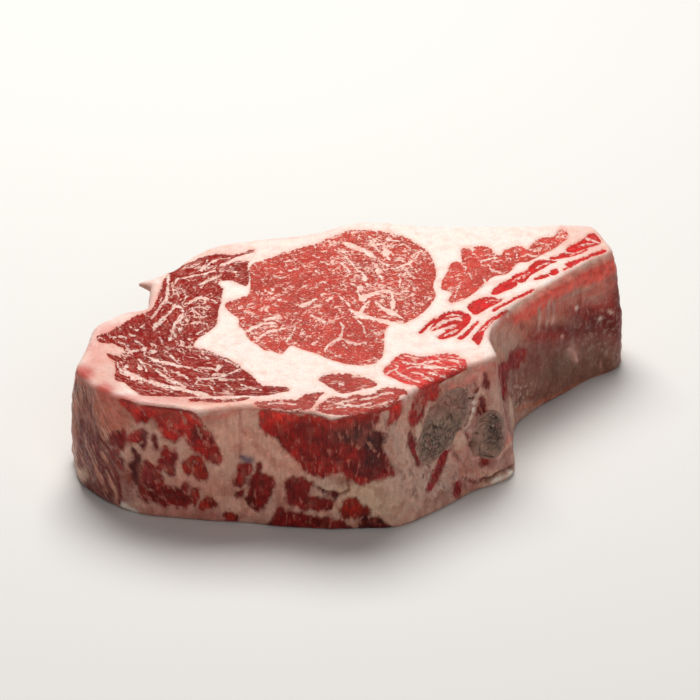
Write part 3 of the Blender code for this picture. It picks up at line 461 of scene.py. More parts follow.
# Lines drawn over the fat and the lean of the wall: tint, full width and line in pixels. Some are painted
# shade along creases and some are painted glints.
WALL_LINES_PX = [
    ("tan_rim", 5.0, [(75, 404), (73, 425), (73, 448)]), ("cream", 5.0, [(73, 448), (76, 466), (84, 480)]),
    ("strand_pale", 3.0, [(80, 450), (84, 461), (88, 471), (93, 481)]),
    ("strand_pale", 2.6, [(84, 438), (87, 450), (92, 462), (98, 474), (102, 484)]),
    ("strand_pale", 2.4, [(86, 431), (84, 437), (86, 443)]),
    ("strand_pale", 2.6, [(94, 409), (98, 420), (101, 431)]),
    ("strand_pale", 2.6, [(90, 452), (96, 466), (103, 480), (108, 492)]),
    ("strand_pale", 2.4, [(101, 452), (106, 464), (112, 476)]),
    ("strand_pale", 2.8, [(112, 484), (116, 494), (119, 502)]),
    ("strand_pale", 2.4, [(103, 428), (106, 441)]),
    ("strand_pale", 2.4, [(106, 470), (111, 482), (115, 492)]),
    ("blood", 3.2, [(88, 405), (92, 416), (97, 428), (99, 440)]),
    ("blood", 3.0, [(80, 440), (86, 452), (92, 464), (96, 474)]),
    ("blood", 3.4, [(92, 440), (98, 454), (106, 466), (112, 478)]),
    ("blood", 3.6, [(81, 420), (84, 432), (92, 444)]), ("blood", 3.0, [(104, 440), (110, 452), (114, 462)]),
    ("blood", 3.0, [(85, 458), (90, 470), (94, 478)]), ("blood", 3.0, [(98, 466), (104, 478), (110, 490)]),
    ("blood", 3.4, [(114, 468), (118, 480), (120, 494), (119, 504)]),
    ("dusty", 2.6, [(240, 410), (240.6, 425), (241, 440), (241, 455)]),
    ("white", 5.0, [(122, 503), (128, 508), (138, 512)]),
    ("cream", 3.4, [(256, 463), (255, 470), (251, 478), (246, 484), (240, 489)]),
    ("slate", 3.0, [(240, 456), (245, 458), (249, 462)]),
    # The two brown lines below follow grooves of the wall: painted shade in the creases.
    ("brown", 2.6, [(347, 478), (348, 483), (349, 488)]),
    ("brown", 2.8, [(335, 496), (343, 494), (350, 490)]),
    ("cream", 2.6, [(313, 483), (322, 485), (334, 491)]),
    ("blood", 3.6, [(410, 434), (411, 446), (414, 454), (418, 463)]),
    ("cream", 2.6, [(424, 403), (420, 411), (417, 421)]),
    ("cream", 2.4, [(421, 418), (418, 432), (417, 446), (420, 457)]),
    # The two short white marks at 473 to 476 across, on this line and the next, are painted glints.
    ("cream", 2.8, [(477, 392), (475, 399)]), ("white", 4.0, [(473.6, 401), (475.4, 403)]),
    ("white", 4.0, [(473, 409), (475.6, 410.6)]), ("cream", 2.6, [(471, 414), (468, 420), (465, 428)]),
    ("cream", 2.4, [(463, 433), (462, 440), (460, 447)]),
    ("blood", 2.4, [(478, 388), (474, 394), (472, 400)]),
    ("blood", 2.2, [(470, 410), (467, 418), (464, 426)]),
    ("blood", 2.2, [(464, 432), (468, 438), (469, 446)]),
    ("blood", 3.0, [(484, 372), (487, 380), (488, 388)]),
    ("rosy", 3.2, [(472, 457.6), (484, 456.6), (494, 455.5), (502, 450), (507, 444), (509, 437)]),
    ("cream", 2.6, [(499, 452), (505, 448), (509, 442)]),
    ("cream", 3.0, [(508, 396), (511, 418), (513.6, 440), (514, 456)]),
    # This brown line follows the groove above the flap: painted shade in the crease.
    ("brown", 2.6, [(484, 482), (492, 478), (500, 473), (508, 469), (515, 465)]),
    ("white", 5.0, [(492, 483), (500, 479), (508, 474), (513, 471)]),
    ("blood", 2.4, [(462, 478), (476, 482), (488, 476)]),
    ("rosy", 9.0, [(448, 389), (458, 386), (468, 380), (476, 374)]),
    ("blood", 3.0, [(448, 394), (452, 400)]),
    ("rose", 24.0, [(512, 321), (526, 309), (544, 298), (564, 288), (584, 278.6), (602, 270), (616, 264)]),
    ("salmon", 12.0, [(532, 321), (550, 311), (570, 302), (590, 293), (604, 287), (617, 282)]),
    ("flesh_pink", 9.0, [(508, 316), (524, 302), (542, 289.6), (562, 278.6), (582, 268.6), (602, 259),
        (618, 252)]),
    ("pale", 6.0, [(506, 314.6), (523, 299.6), (541, 287), (561, 275.6), (581, 265.6), (601, 256),
        (616, 249)]),
    ("ashen", 2.8, [(549, 298), (548, 312), (547, 326)]),
    ("ashen", 2.6, [(555, 300), (554, 312), (552, 324)]),
    ("ashen", 2.6, [(539, 306), (539, 320), (539, 332)]),
    ("ashen", 3.0, [(568, 349), (572, 350), (576, 356), (577, 362)]),
    ("ashen", 2.4, [(600, 362), (600.4, 368)]), ("ashen", 2.6, [(562, 336), (564, 337)]),
    # The short pale dots at 577 to 612 across, on this line and the next, are painted glints.
    ("pale", 2.8, [(600, 319), (601, 318)]), ("pale", 2.8, [(609, 311), (612, 313)]),
    ("pale", 2.6, [(577, 306), (577, 310)]),
    ("tan_rim", 2.6, [(516, 411), (545, 400), (575, 386), (605, 373)]),
]
# Soft zones of another tint on the lean of the wall: middle, reach, tint, strength.
WALL_LEAN_ZONES_PX = [
    ((375, 446), (11, 22), "shadow", 0.8), ((352, 432), (20, 11), "umber", 0.6),
    ((366, 470), (18, 8), "shadow", 0.3), ((280, 412), (26, 9), "ember", 0.5),
    ((170, 420), (18, 16), "ember", 0.35),
]
SMOOTH_MEMBRANE_PX, SMOOTH_REACH_PX = (110, 409), (15, 16)
# Places on the wall that the saw left crumbly: middle, reach, amount.
CRUMBLY_PX = [
    ((440, 440), (34, 50), 0.45), ((424, 480), (16, 18), 0.5), ((476, 400), (8, 30), 0.3),
    ((520, 394), (8, 14), 0.9), ((490, 470), (20, 14), 0.2), ((600, 330), (20, 24), 0.2),
    ((390, 424), (6, 8), 0.3), ((140, 505), (20, 8), 0.2),
]
# Blood-red shine through the membrane: full width in pixels, then the line.
RED_STREAKS_PX = [
    (5.0, [(394, 404), (392, 414), (388, 424)]), (6.0, [(424, 396), (417, 406), (413, 420)]),
    (3.0, [(462, 394), (458, 402), (454, 408)]), (3.5, [(449, 448), (444, 460), (438, 474), (432, 488)]),
    (3.6, [(480, 398), (484, 406)]), (3.4, [(486, 379), (487, 388)]),
    (6.0, [(524, 350), (514, 362), (507, 372)]), (4.0, [(506, 366), (505, 380), (504, 396)]),
    (2.4, [(482, 461), (488, 460)]), (3.0, [(621, 292), (621.6, 312), (621, 332)]),
    (3.0, [(120, 400), (150, 404), (190, 412), (208, 430)]), (3.0, [(78, 372), (92, 380), (110, 392)]),
]

# ---------------------------------------------------------------- mesh density and margins
FINE_STEP = 0.62          # millimetres between points of the cut face in and near the lean
COARSE_STEP = 1.45        # in plain fat
UNDERSIDE_STEP = 1.9
NEAR_COLUMN = 0.82        # between columns of the wall that face the camera
FAR_COLUMN = 1.5
TAG_COLUMN = 0.6          # round the loose tip of fat
TAG_SURROUNDINGS = 6.0
WALL_STEPS = 54
ROUNDING_STEPS = 5
EDGE_STEPS = 24           # fine steps from one point of the top edge to the next
TOWARDS_CAMERA = np.array((-0.25, -0.97))
ROW_SHARE = 0.866         # rows of a triangular grid lie this much closer than its points
SHAKE = 0.12              # how far a point of the grid is shaken, as a share of its step
GRID_MARGIN = 8.0
FINE_REACH_PX = 2.6       # the fine points go this far past the lean
COARSE_REACH_PX = 3.8     # and the coarse ones start here
PX_PER_MM = 2.7           # in the middle of the picture
FAR_OUT_PX = 30.0         # depths are measured no further out than this
VEIN_MARGIN_PX = 12
VEIN_END = 0.45           # width of a vein's ends, as a share of its middle

# Rings of the rounded foot: share of the wall's height, inset and level as shares of the rounding.
FOOT_RINGS = ((0.0, 1.0, 0.0), (0.004, 0.72, 0.06), (0.01, 0.3, 0.3))
FOOT_CURVE = 1.2          # how fast the wall leaves its foot


def linear(red, green, blue):
    """A colour given as 8-bit sRGB, as linear values."""
    share = np.array((red, green, blue)) / 255.0
    return np.where(share <= 0.04045, share / 12.92, ((share + 0.055) / 1.055) ** 2.4)


def tints(**colours):
    return {name: linear(*colour) for name, colour in colours.items()}


# The lean's rim tint is a painted highlight, laid on just below the wall's top edge.
LEAN_TINTS = tints(
    eye=(179, 58, 48), cap=(135, 20, 13), rib=(191, 62, 52), strip=(196, 36, 35), chine=(203, 56, 53),
    lens=(166, 58, 50), bright=(170, 22, 14), deep=(132, 20, 14), dull=(124, 20, 14), dark=(84, 14, 12),
    wine=(140, 20, 22), orange=(152, 32, 16), dusk=(98, 30, 22), tan=(150, 88, 68), rim=(214, 56, 46),
)
FAT_TINTS = tints(
    top=(248, 230, 220), rim=(226, 174, 158), wall=(212, 162, 142), membrane=(206, 120, 98),
    strand=(114, 26, 18), pale=(236, 204, 186), cream=(224, 186, 164), strand_pale=(214, 152, 128),
    tan_rim=(196, 118, 92), white=(244, 226, 212), tan_fat=(152, 76, 56), mauve=(166, 112, 104),
    sinew=(206, 146, 126), dusty=(204, 138, 122), blush=(236, 178, 156), slate=(112, 92, 104),
    straw=(222, 188, 160), drab=(130, 84, 66), grey_fat=(206, 164, 146), bone_grey=(200, 162, 146),
    rosy=(226, 142, 128), rose=(244, 96, 80), ashen=(206, 152, 138), brick=(172, 42, 30),
    bruise=(118, 16, 10), plum=(146, 78, 68), brown=(134, 80, 62), stone=(126, 92, 78),
    salmon=(206, 112, 96), flesh_pink=(242, 158, 140), shadow=(56, 10, 8), umber=(104, 46, 38),
    ember=(196, 52, 38), blood=(118, 22, 17), scarlet=(196, 76, 62),
)


# ---------------------------------------------------------------- curves and fields
def smooth_loop(points, steps):
    """A closed smooth curve through the points, as in the part: bent only as strongly as it is long."""
    points = np.array(points, float)
    before, after = np.roll(points, 1, 0), np.roll(points, -1, 0)
    direction = (after - before) / np.linalg.norm((after - before)[:, :2], axis=1)[:, None]
    length = np.linalg.norm((after - points)[:, :2], axis=1)[:, None]
    arriving = np.roll(direction, -1, 0)
    curve = []
    for step in range(steps):
        t = step / steps
        end_share = t * t * (3 - 2 * t)
        curve.append(points + (after - points) * end_share + direction * length * t * (1 - t) ** 2
                     + arriving * length * t * t * (t - 1))
    return np.stack(curve, 1).reshape(-1, points.shape[1])


def smooth_line(points, steps):
    """An open smooth curve through the points."""
    points = np.array(points, float)
    if len(points) < 3:
        return points[0] + (points[-1] - points[0]) * np.linspace(0, 1, steps + 1)[:, None]
    tangent = np.gradient(points, axis=0)
    curve = []
    for start, end, leaving, arriving in zip(points, points[1:], tangent, tangent[1:]):
        for step in range(steps):
            t = step / steps
            curve.append(start + (end - start) * t * t * (3 - 2 * t) + leaving * t * (1 - t) ** 2
                         + arriving * t * t * (t - 1))
    return np.array(curve + [points[-1]])


def unit(vectors):
    return vectors / np.linalg.norm(vectors, axis=1)[:, None]


def ramp(value, start, end):
    """0 up to the start, 1 from the end on, and smooth between. The start may be the higher of the two."""
    share = np.clip((value - start) / (end - start), 0, 1)
    return share * share * (3 - 2 * share)


def rough(places, size, seed):
    """Smooth random values from -1 to 1 at the places, with bumps of the given size."""
    shift = Vector((seed, 0.37 * seed, 1.7 * seed))
    return np.array([noise.fractal(Vector(place) / size + shift, 1.0, 2.0, 2) for place in places.tolist()])


def spot(pixels, middle, reach, edge=1.5):
    """1 in the middle of a soft oval spot, falling to 0 past its reach."""
    return np.exp(-0.5 * (((pixels - middle) / reach) ** 2).sum(1) ** edge)


def blend(first, second, share):
    """The first colour with a share of the second over it, point by point."""
    share = share[:, None]
    return first * (1 - share) + second * share


def zone_tint(pixels, tint, zones, facing):
    """The tint with soft zones of other tints laid over it, where the skin faces the camera."""
    for middle, reach, name, strength in zones:
        tint = blend(tint, FAT_TINTS[name], strength * spot(pixels, middle, reach) * facing)
    return tint


def top_height(places):
    """Height of the cut face: lower towards the cap end, domed over the eye, with a slight unevenness."""
    x, y = places[:, 0], places[:, 1]
    drop = LEFT_DROP * np.maximum(0.0, 40.0 - x) / 140.0
    dome = EYE_DOME * np.exp(-((x + 2) / 32) ** 2 - ((y - 16) / 42) ** 2)
    wave = WAVE * (np.sin(x / 13 + 0.6) * np.cos(y / 16) + 0.6 * np.sin((x + 1.7 * y) / 21))
    return THICKNESS - drop + dome + wave


def to_photo(points):
    """Pixels of the photograph where points of the drawing show."""
    away = points - CAMERA_PLACE
    depth = away @ FORWARD
    return np.stack([PHOTO_PX / 2 + FOCAL_PX * away[:, 0] / depth,
                     PHOTO_PX / 2 - FOCAL_PX * (away @ UPWARD) / depth], 1)


def near_box(places, line, margin):
    """Numbers of the places that lie in the line's box, or within the margin of it."""
    return np.flatnonzero(((places > line.min(0) - margin) & (places < line.max(0) + margin)).all(1))


def line_distance(places, line):
    """Distance of every place from an open line of points."""
    nearest = np.full(len(places), np.inf)
    for start, end in zip(line, line[1:]):
        along = end - start
        share = np.clip((places - start) @ along / (along @ along), 0, 1)
        nearest = np.minimum(nearest, ((places - start - share[:, None] * along) ** 2).sum(1))
    return np.sqrt(nearest)


def depth_inside(places, outline, margin):
    """Distance inside a closed outline, below 0 outside it. Beyond the margin it is only a lower bound."""
    depth = np.full(len(places), -float(margin))
    near = near_box(places, outline, margin)
    if not len(near):
        return depth
    spots = places[near]
    distance = line_distance(spots, np.vstack([outline, outline[:1]]))
    inside = np.zeros(len(spots), bool)
    for start, end in zip(outline, np.roll(outline, -1, 0)):
        crosses = (start[1] > spots[:, 1]) != (end[1] > spots[:, 1])
        rise = end[1] - start[1]
        edge_x = start[0] + (spots[:, 1] - start[1]) * (end[0] - start[0]) / (rise if rise else 1.0)
        inside ^= crosses & (spots[:, 0] < edge_x)
    depth[near] = np.where(inside, distance, -np.minimum(distance, margin))
    return depth


def vein_depth(pixels, lines):
    """How far inside the nearest vein the pixels are, below 0 outside. Veins swell and thin on their way."""
    depth = np.full(len(pixels), NO_VEIN_PX)
    for number, (width, line) in enumerate(lines):
        line = smooth_line(line, 4)
        near = near_box(pixels, line, VEIN_MARGIN_PX)
        if not len(near):
            continue
        spots = pixels[near]
        share = np.linspace(0, 1, len(line))
        swell = VEIN_END + (1 - VEIN_END) * np.sin(math.pi * share) ** 0.6
        swell *= 1 + 0.28 * np.sin(share * 9.0 + 2.1 * number)
        half = width / 2 * swell
        best = depth[near]
        for start, end, half_start, half_end in zip(line, line[1:], half, half[1:]):
            along = end - start
            part = np.clip((spots - start) @ along / max(along @ along, 1e-9), 0, 1)
            gap = np.sqrt(((spots - start - part[:, None] * along) ** 2).sum(1))
            best = np.maximum(best, half_start + (half_end - half_start) * part - gap)
        depth[near] = best
    return depth


def lean_on_cut_face(pixels):
    """Depth inside the muscles at pixels of the cut face, and which muscle is nearest."""
    def deepest(outlines):
        return np.max([depth_inside(pixels, smooth_loop(outline, 3), FAR_OUT_PX) for outline in outlines], 0)

    wedges = deepest(FAT_WEDGES_PX)
    depths = np.stack([np.minimum(deepest(outlines), -wedges) for outlines in MUSCLES_PX.values()])
    return depths.max(0), np.array(list(MUSCLES_PX))[depths.argmax(0)]


# ---------------------------------------------------------------- the skin of the whole cut
def wall_columns():
    """Columns of the wall: their values in the top edge, outward normals, and lengths along the edge."""
    coarse, edge = smooth_loop(TOP_EDGE, 2), smooth_loop(TOP_EDGE, EDGE_STEPS)
    run = unit(np.roll(coarse, -1, 0)[:, :2] - np.roll(coarse, 1, 0)[:, :2])
    normals = np.stack([run[:, 1], -run[:, 0]], 1)
    index, places = np.arange(len(edge)) / (EDGE_STEPS / 2), np.arange(len(normals) + 1)
    turned = unit(np.stack([np.interp(index, places, np.append(row, row[0])) for row in normals.T], 1))
    step = np.linalg.norm(np.roll(edge, -1, 0)[:, :2] - edge[:, :2], axis=1)
    spacing = FAR_COLUMN + (NEAR_COLUMN - FAR_COLUMN) * ramp(turned @ TOWARDS_CAMERA, -0.45, -0.05)
    from_tag = np.linalg.norm(edge[:, :2] - FAT_TAG[:2], axis=1)
    spacing = np.where(from_tag < TAG_SURROUNDINGS, TAG_COLUMN, spacing)
    position = np.concatenate([[0.0], np.cumsum(step / spacing)])
    length = np.concatenate([[0.0], np.cumsum(step)])
    wanted = np.arange(int(position[-1])) * position[-1] / int(position[-1])

    def sampled(values):
        return np.stack([np.interp(wanted, position, np.append(row, row[0])) for row in values.T], 1)

    return sampled(edge), unit(sampled(turned)), np.interp(wanted, position, length)


def wall_rings(columns, directions):
    """Rings of the wall from the underside to the cut face."""
    def ring(share, inset, height):
        reach = columns[:, 2] * (1 - share) ** FOOT_CURVE + columns[:, 3] * 4 * share * (1 - share) - inset
        place = columns[:, :2] + directions * reach[:, None]
        return np.column_stack([place, height(top_height(place))])

    rings = [ring(share, inset * FOOT_ROUNDING, lambda top: np.full(len(top), level * FOOT_ROUNDING))
             for share, inset, level in FOOT_RINGS]
    for share in np.linspace(FOOT_ROUNDING / THICKNESS, 1.0, WALL_STEPS):
        risen = (share * THICKNESS - FOOT_ROUNDING) / (THICKNESS - FOOT_ROUNDING)
        rings.append(ring(share, 0.0,
                          lambda top: FOOT_ROUNDING + risen * (top - TOP_ROUNDING - FOOT_ROUNDING)))
    for angle in math.pi / 2 * np.arange(1, ROUNDING_STEPS + 1) / ROUNDING_STEPS:
        sunk = TOP_ROUNDING * (1 - math.sin(angle))
        rings.append(ring(1.0, TOP_ROUNDING * (1 - math.cos(angle)), lambda top: top - sunk))
    return rings


def scattered(low, high, step, seed):
    """Slightly shaken points of a triangular grid over a box."""
    rows, line = np.arange(low[1], high[1], step * ROW_SHARE), np.arange(low[0], high[0], step)
    grid = np.array([(x + step / 2 * (number % 2), y) for number, y in enumerate(rows) for x in line])
    return grid + np.random.default_rng(seed).uniform(-SHAKE, SHAKE, grid.shape) * step


def filled(rim, places):
    """Triangles that fill the rim, through the places inside it. The rim's points are numbered first."""
    points = [Vector(place) for place in np.vstack([rim, places]).tolist()]
    _, _, faces, origins, _, _ = delaunay_2d_cdt(points, [], [list(range(len(rim)))], 1, 1e-7)
    number = np.array([origin[0] if origin else -1 for origin in origins])
    if (number < 0).any():
        raise ValueError("the rim crosses itself")
    return np.array([[number[corner] for corner in face] for face in faces])


def bands(count, around):
    """Four-sided faces between neighbouring rings, whose points are numbered ring by ring."""
    here = np.arange(around)
    ahead = np.roll(here, -1)
    faces = []
    for lower in range(0, (count - 1) * around, around):
        upper = lower + around
        faces += np.column_stack([lower + here, lower + ahead, upper + ahead, upper + here]).tolist()
    return faces


def skin_shape():
    """Points and faces of the skin, and for each point its length along the top edge and its kind.

    The kind is 1 on the cut face, 0 on the wall and -1 on the underside.
    """
    columns, directions, length = wall_columns()
    rings = wall_rings(columns, directions)
    count = len(columns)
    top_rim, low_rim = rings[-1][:, :2], rings[0][:, :2]
    low, high = top_rim.min(0), top_rim.max(0)

    def inner(step, seed, rim, clear):
        places = scattered(low - GRID_MARGIN, high + GRID_MARGIN, step, seed)
        return places[depth_inside(places, rim, margin=3) > clear]

    def lean_at(places):
        return lean_on_cut_face(to_photo(np.column_stack([places, top_height(places)])))[0]

    fine = inner(FINE_STEP, seed=1, rim=top_rim, clear=0.45)
    coarse = inner(COARSE_STEP, seed=2, rim=top_rim, clear=0.75)
    fine, coarse = fine[lean_at(fine) > -FINE_REACH_PX], coarse[lean_at(coarse) < -COARSE_REACH_PX]
    face_places = np.vstack([fine, coarse])
    under_places = inner(UNDERSIDE_STEP, seed=3, rim=low_rim, clear=0.9)
    top_faces, under_faces = filled(top_rim, face_places), filled(low_rim, under_places)

    points = np.vstack(rings + [np.column_stack([face_places, top_height(face_places)]),
                                np.column_stack([under_places, np.zeros(len(under_places))])])
    face_start = count * len(rings)
    top_start, under_start = face_start - count, face_start + len(face_places)
    top_faces = np.where(top_faces < count, top_faces + top_start, top_faces - count + face_start)
    under_faces = np.where(under_faces < count, under_faces, under_faces - count + under_start)[:, ::-1]
    faces = top_faces.tolist() + under_faces.tolist() + bands(len(rings), count)
    kind = np.repeat((0.0, 1.0, -1.0), (face_start, len(face_places), len(under_places)))
    along = np.zeros(len(points))
    along[:face_start] = np.tile(length, len(rings))
    return points, faces, along, kind


def in_metres(points):
    """Points of the drawing as places in the frame."""
    placed = points * MM
    placed[:, :2] += PLAN_SHIFT * MM
    return placed


def make_mesh(name, points, faces):
    """A smooth mesh object from points of the drawing."""
    mesh = bpy.data.meshes.new(name)
    mesh.from_pydata(in_metres(points).tolist(), [], faces)
    mesh.polygons.foreach_set("use_smooth", np.ones(len(mesh.polygons), bool))
    mesh.update()
    item = bpy.data.objects.new(name, mesh)
    bpy.context.scene.collection.objects.link(item)
    return item


def move_points(item, points):
    item.data.vertices.foreach_set("co", in_metres(points).astype(np.float32).ravel())
    item.data.update()


def normals_of(item):
    normals = np.zeros(len(item.data.vertices) * 3, np.float32)
    item.data.vertex_normals.foreach_get("vector", normals)
    return normals.reshape(-1, 3).astype(float)


def store(item, name, *columns):
    """Keep one value, vector or colour for each vertex."""
    values = np.column_stack(columns).astype(np.float32)
    kinds = {1: ("FLOAT", "value"), 3: ("FLOAT_VECTOR", "vector"), 4: ("FLOAT_COLOR", "color")}
    kind, key = kinds[values.shape[1]]
    item.data.attributes.new(name, kind, "POINT").data.foreach_set(key, values.ravel())


# ---------------------------------------------------------------- tints and relief over the skin
# Soft zones of another tint on the fat of the cut face: middle, reach, tint, strength.
TOP_ZONES_PX = [
    ((105, 368), (20, 26), "rim", 0.9), ((140, 300), (24, 18), "rim", 0.7),
    ((84, 374), (9, 7), "scarlet", 0.95), ((104, 391), (9, 6), "scarlet", 0.95),
    ((122, 399), (12, 3.6), "scarlet", 0.8), ((96, 352), (8, 12), "rosy", 0.5),
    ((112, 330), (14, 6), "rosy", 0.7), ((196, 250), (46, 6), "rim", 0.5),
    ((585, 240), (26, 16), "rim", 0.6), ((480, 372), (20, 14), "blush", 0.6),
    ((340, 407), (60, 6), "blush", 0.7), ((260, 232), (60, 8), "rim", 0.4),
    ((150, 402), (40, 5), "rosy", 0.6), ((235, 407), (48, 6), "blush", 0.9),
    ((180, 399), (26, 4), "scarlet", 0.25), ((292, 409), (20, 4), "rosy", 0.5),
]
# Ridges, or grooves where the height is below 0: height in millimetres, half width and line in pixels.
RIDGES_PX = [
    (1.5, 4.0, [(122, 506), (128, 511), (138, 515)]),
    (0.9, 4.0, [(255, 462), (257.5, 467), (253, 477), (247, 484), (239, 489)]),
    (-1.6, 2.2, [(486, 481), (492, 477.6), (500, 473.6), (508, 469.6), (515, 466)]),
    (1.0, 4.5, [(488, 485), (500, 478), (513, 471)]),
    (1.3, 9.0, [(506, 324), (530, 304), (560, 287), (585, 275)]),
    (0.7, 4.0, [(474, 455), (482, 456.6), (490, 458), (498, 455), (504, 450), (508, 443)]),
    (-0.8, 3.0, [(500, 352), (503, 368), (504, 384), (505, 400)]),
    (0.9, 7.0, [(508, 400), (512, 430), (514, 452)]), (1.2, 10.0, [(392, 440), (390, 455)]),
    (-1.4, 4.0, [(382, 434), (384, 446), (390, 460), (400, 468)]),
    (0.8, 5.0, [(345, 483), (330, 486), (314, 490)]),
    (-0.9, 3.0, [(320, 488), (330, 492), (336, 497), (346, 492)]),
    (0.7, 6.0, [(160, 440), (162, 455), (152, 462), (146, 452), (147, 436)]),
    (0.6, 5.0, [(125, 452), (128, 464), (128, 478), (130, 492)]), (0.5, 4.0, [(402, 300), (440, 280)]),
    (0.7, 8.0, [(545, 362), (560, 360), (572, 368)]), (0.5, 4.0, [(568, 346), (574, 354), (574, 361)]),
]
GRAIN_OF_CAP = (-25.0, 0.0)                       # the cap's fibres run round this place
GRAIN_RADIUS_OF_CAP = 48.0                        # and are measured at this distance from it
GRAIN_ALONG = {"rib": (0.66, 0.75), "strip": (0.66, 0.75), "chine": (0.9, -0.44), "lens": (1.0, 0.1)}
GRAIN_SHORTENED = {"cap": 0.5, "rib": 0.7, "strip": 0.3, "chine": 0.36, "lens": 0.45}
WALL_GRAIN_PLANE = 80.0                           # where the wall's grain is cut out of the pattern
WALL_GRAIN_SHORTENED = 0.38
# On the wall the strands of the left end lean over by this much for each millimetre of height.
STRAND_LEAN = 0.5
MARBLING = {"eye": 0.50, "cap": 0.44, "rib": 0.48, "strip": 0.31, "chine": 0.42, "lens": 0.44, "wall": 0.22}
# Places on the cut face with more marbling, or less where the last value is below 0: middle, reach, change.
MARBLING_ZONES_PX = [
    ((385, 262), (34, 24), 0.05), ((352, 256), (22, 14), 0.03), ((375, 296), (28, 12), 0.03),
    ((300, 290), (34, 26), -0.03), ((350, 340), (22, 14), -0.10), ((262, 318), (24, 14), 0.03),
    ((190, 300), (22, 34), 0.05), ((150, 372), (34, 18), 0.04), ((142, 330), (20, 12), -0.08),
    ((230, 268), (26, 10), 0.04), ((480, 272), (24, 12), -0.04), ((440, 370), (24, 14), 0.08),
    ((170, 392), (40, 5), 0.02),
]
# Millimetres below the cut face between which something grows from nothing to full.
TOP_FROM, WALL_FROM, WALL_TINT_FROM, LINES_FROM = (3.2, 1.4), (0.4, 2.0), (0.2, 3.0), (0.2, 1.2)
RED_RIM_FROM, RED_RIM_ENDS = (0.4, 1.6), (2.8, 5.5)
HIDDEN_LEAN_FROM = 2.0
# Millimetres above the underside between which the wall's look and its relief begin.
FOOT_LOOK_FROM, FOOT_RELIEF_FROM = (1.0, 4.0), (0.4, 4.0)
UNDERSIDE_UNTIL = 1.0
FACING_FROM = (0.03, 0.2)                         # of the part of a normal that points at the camera
SEEN_FROM = 0.3
# Columns of the photograph between which something grows from nothing to full.
LEFT_END_FROM_PX = (130, 96)
STRANDS_LEAN_FROM_PX = (250, 80)
CHINE_SIDE_FROM_PX = (392, 412)
CHINE_SIDE_ENDS_PX = (516, 526)
RIB_SIDE_FROM_PX = (505, 520)
BROAD_LEAN = ("bright", "dull", "orange")         # lean of the wall that gives way to other lean
NARROW_LEAN_WEIGHT = 8.0
WALL_TINT_BLUR_PX = 1.6
SLIT_PX = (-1.0, 2.0)                             # depth between which dark lean sinks into a slit
# Just below the top edge the wall's lean is drawn towards the rim tint: a painted highlight where the wall
# turns up to the light.
UPPER_LEAN_RED = 0.75
UPPER_LEAN_REACH = 4.5
STREAKS_ELSEWHERE = 0.14                          # away from the left end and the bones
CRUMBS_ELSEWHERE = 0.16
NO_VEIN_PX = -20.0
HIDDEN_STREAK_LEVEL = 0.74                        # the higher, the less lean on the sides that aren't seen
HIDDEN_STREAK_EDGE = 5.0
FAT_TAG = (-74.0, 30.0, 46.4)                     # the loose tip of fat at the back of the left end
FAT_TAG_REACH = 5.4
FAT_TAG_DIRECTION = (-1.0, -0.1, 0.05)
FAT_TAG_HALF_SIZE = (3.0, 1.9, 1.9)
# Random fields: size of their bumps in millimetres, and seed.
HIDDEN_STREAKS, LEAN_CLOUDS, STREAK_CLOUDS = (7.0, 3.0), (15.0, 5.0), (7.0, 41.0)
SOFT_BUMPS, FINE_BUMPS, LUMPS, FOLDS = (6.0, 9.0), (2.0, 11.0), (9.0, 21.0), (3.2, 23.0)
BONE_GRIT, BONE_BUMPS = (1.5, 31.0), (4.0, 33.0)
# Relief of the cut face in millimetres: its level, and the height of the soft bumps and of the fine ones.
FAT_RELIEF, LEAN_RELIEF = (0.22, 0.14, 0.05), (-0.14, 0.07, 0.13)
# Relief of the wall in millimetres, and of the veins on either.
WALL_LUMPS, WALL_FOLDS, WALL_FINE, WALL_LEAN_SUNK = 0.75, 0.42, 0.2, 0.5
VEIN_RIDGE, WALL_VEIN_RIDGE = 0.16, 0.25
WALL_BUMPS_UPRIGHT = 1.7                          # the wall's bumps are this much taller than wide


class Skin:
    """The points of the skin, and on which side of the cut each of them lies."""

    def __init__(self, points, normals, along, kind):
        self.points, self.normals, self.along, self.kind = points, normals, along, kind
        self.height, self.pixels = points[:, 2], to_photo(points)
        self.sunk = top_height(points) - self.height      # how far below the cut face
        sideways = normals.copy()
        sideways[:, 2] *= ramp(self.height, *FOOT_LOOK_FROM)
        self.facing = ramp(-(sideways @ FORWARD), *FACING_FROM)
        self.on_top = ramp(self.sunk, *TOP_FROM)
        self.on_wall = ramp(self.sunk, *WALL_FROM) * (kind == 0)
        self.is_wall = self.on_wall > 0.5
        self.is_seen = (self.on_wall > 0.2) & (self.facing > SEEN_FROM)
        self.is_hidden = (kind == 0) & ~self.is_seen & (self.sunk > HIDDEN_LEAN_FROM)
        self.is_under = (kind < 0) | ((kind == 0) & (self.height < UNDERSIDE_UNTIL))


def face_lean(skin):
    """Depth inside the muscles, which are the same on the cut face and the underside, and the nearest one."""
    seen_from, below = skin.pixels.copy(), skin.points[skin.is_under]
    below[:, 2] = CUT_FACE_LEVEL
    seen_from[skin.is_under] = to_photo(below)
    depth, muscle = lean_on_cut_face(seen_from)
    return np.where((skin.on_top > 0.5) | (skin.kind < 0), depth, -FAR_OUT_PX), muscle


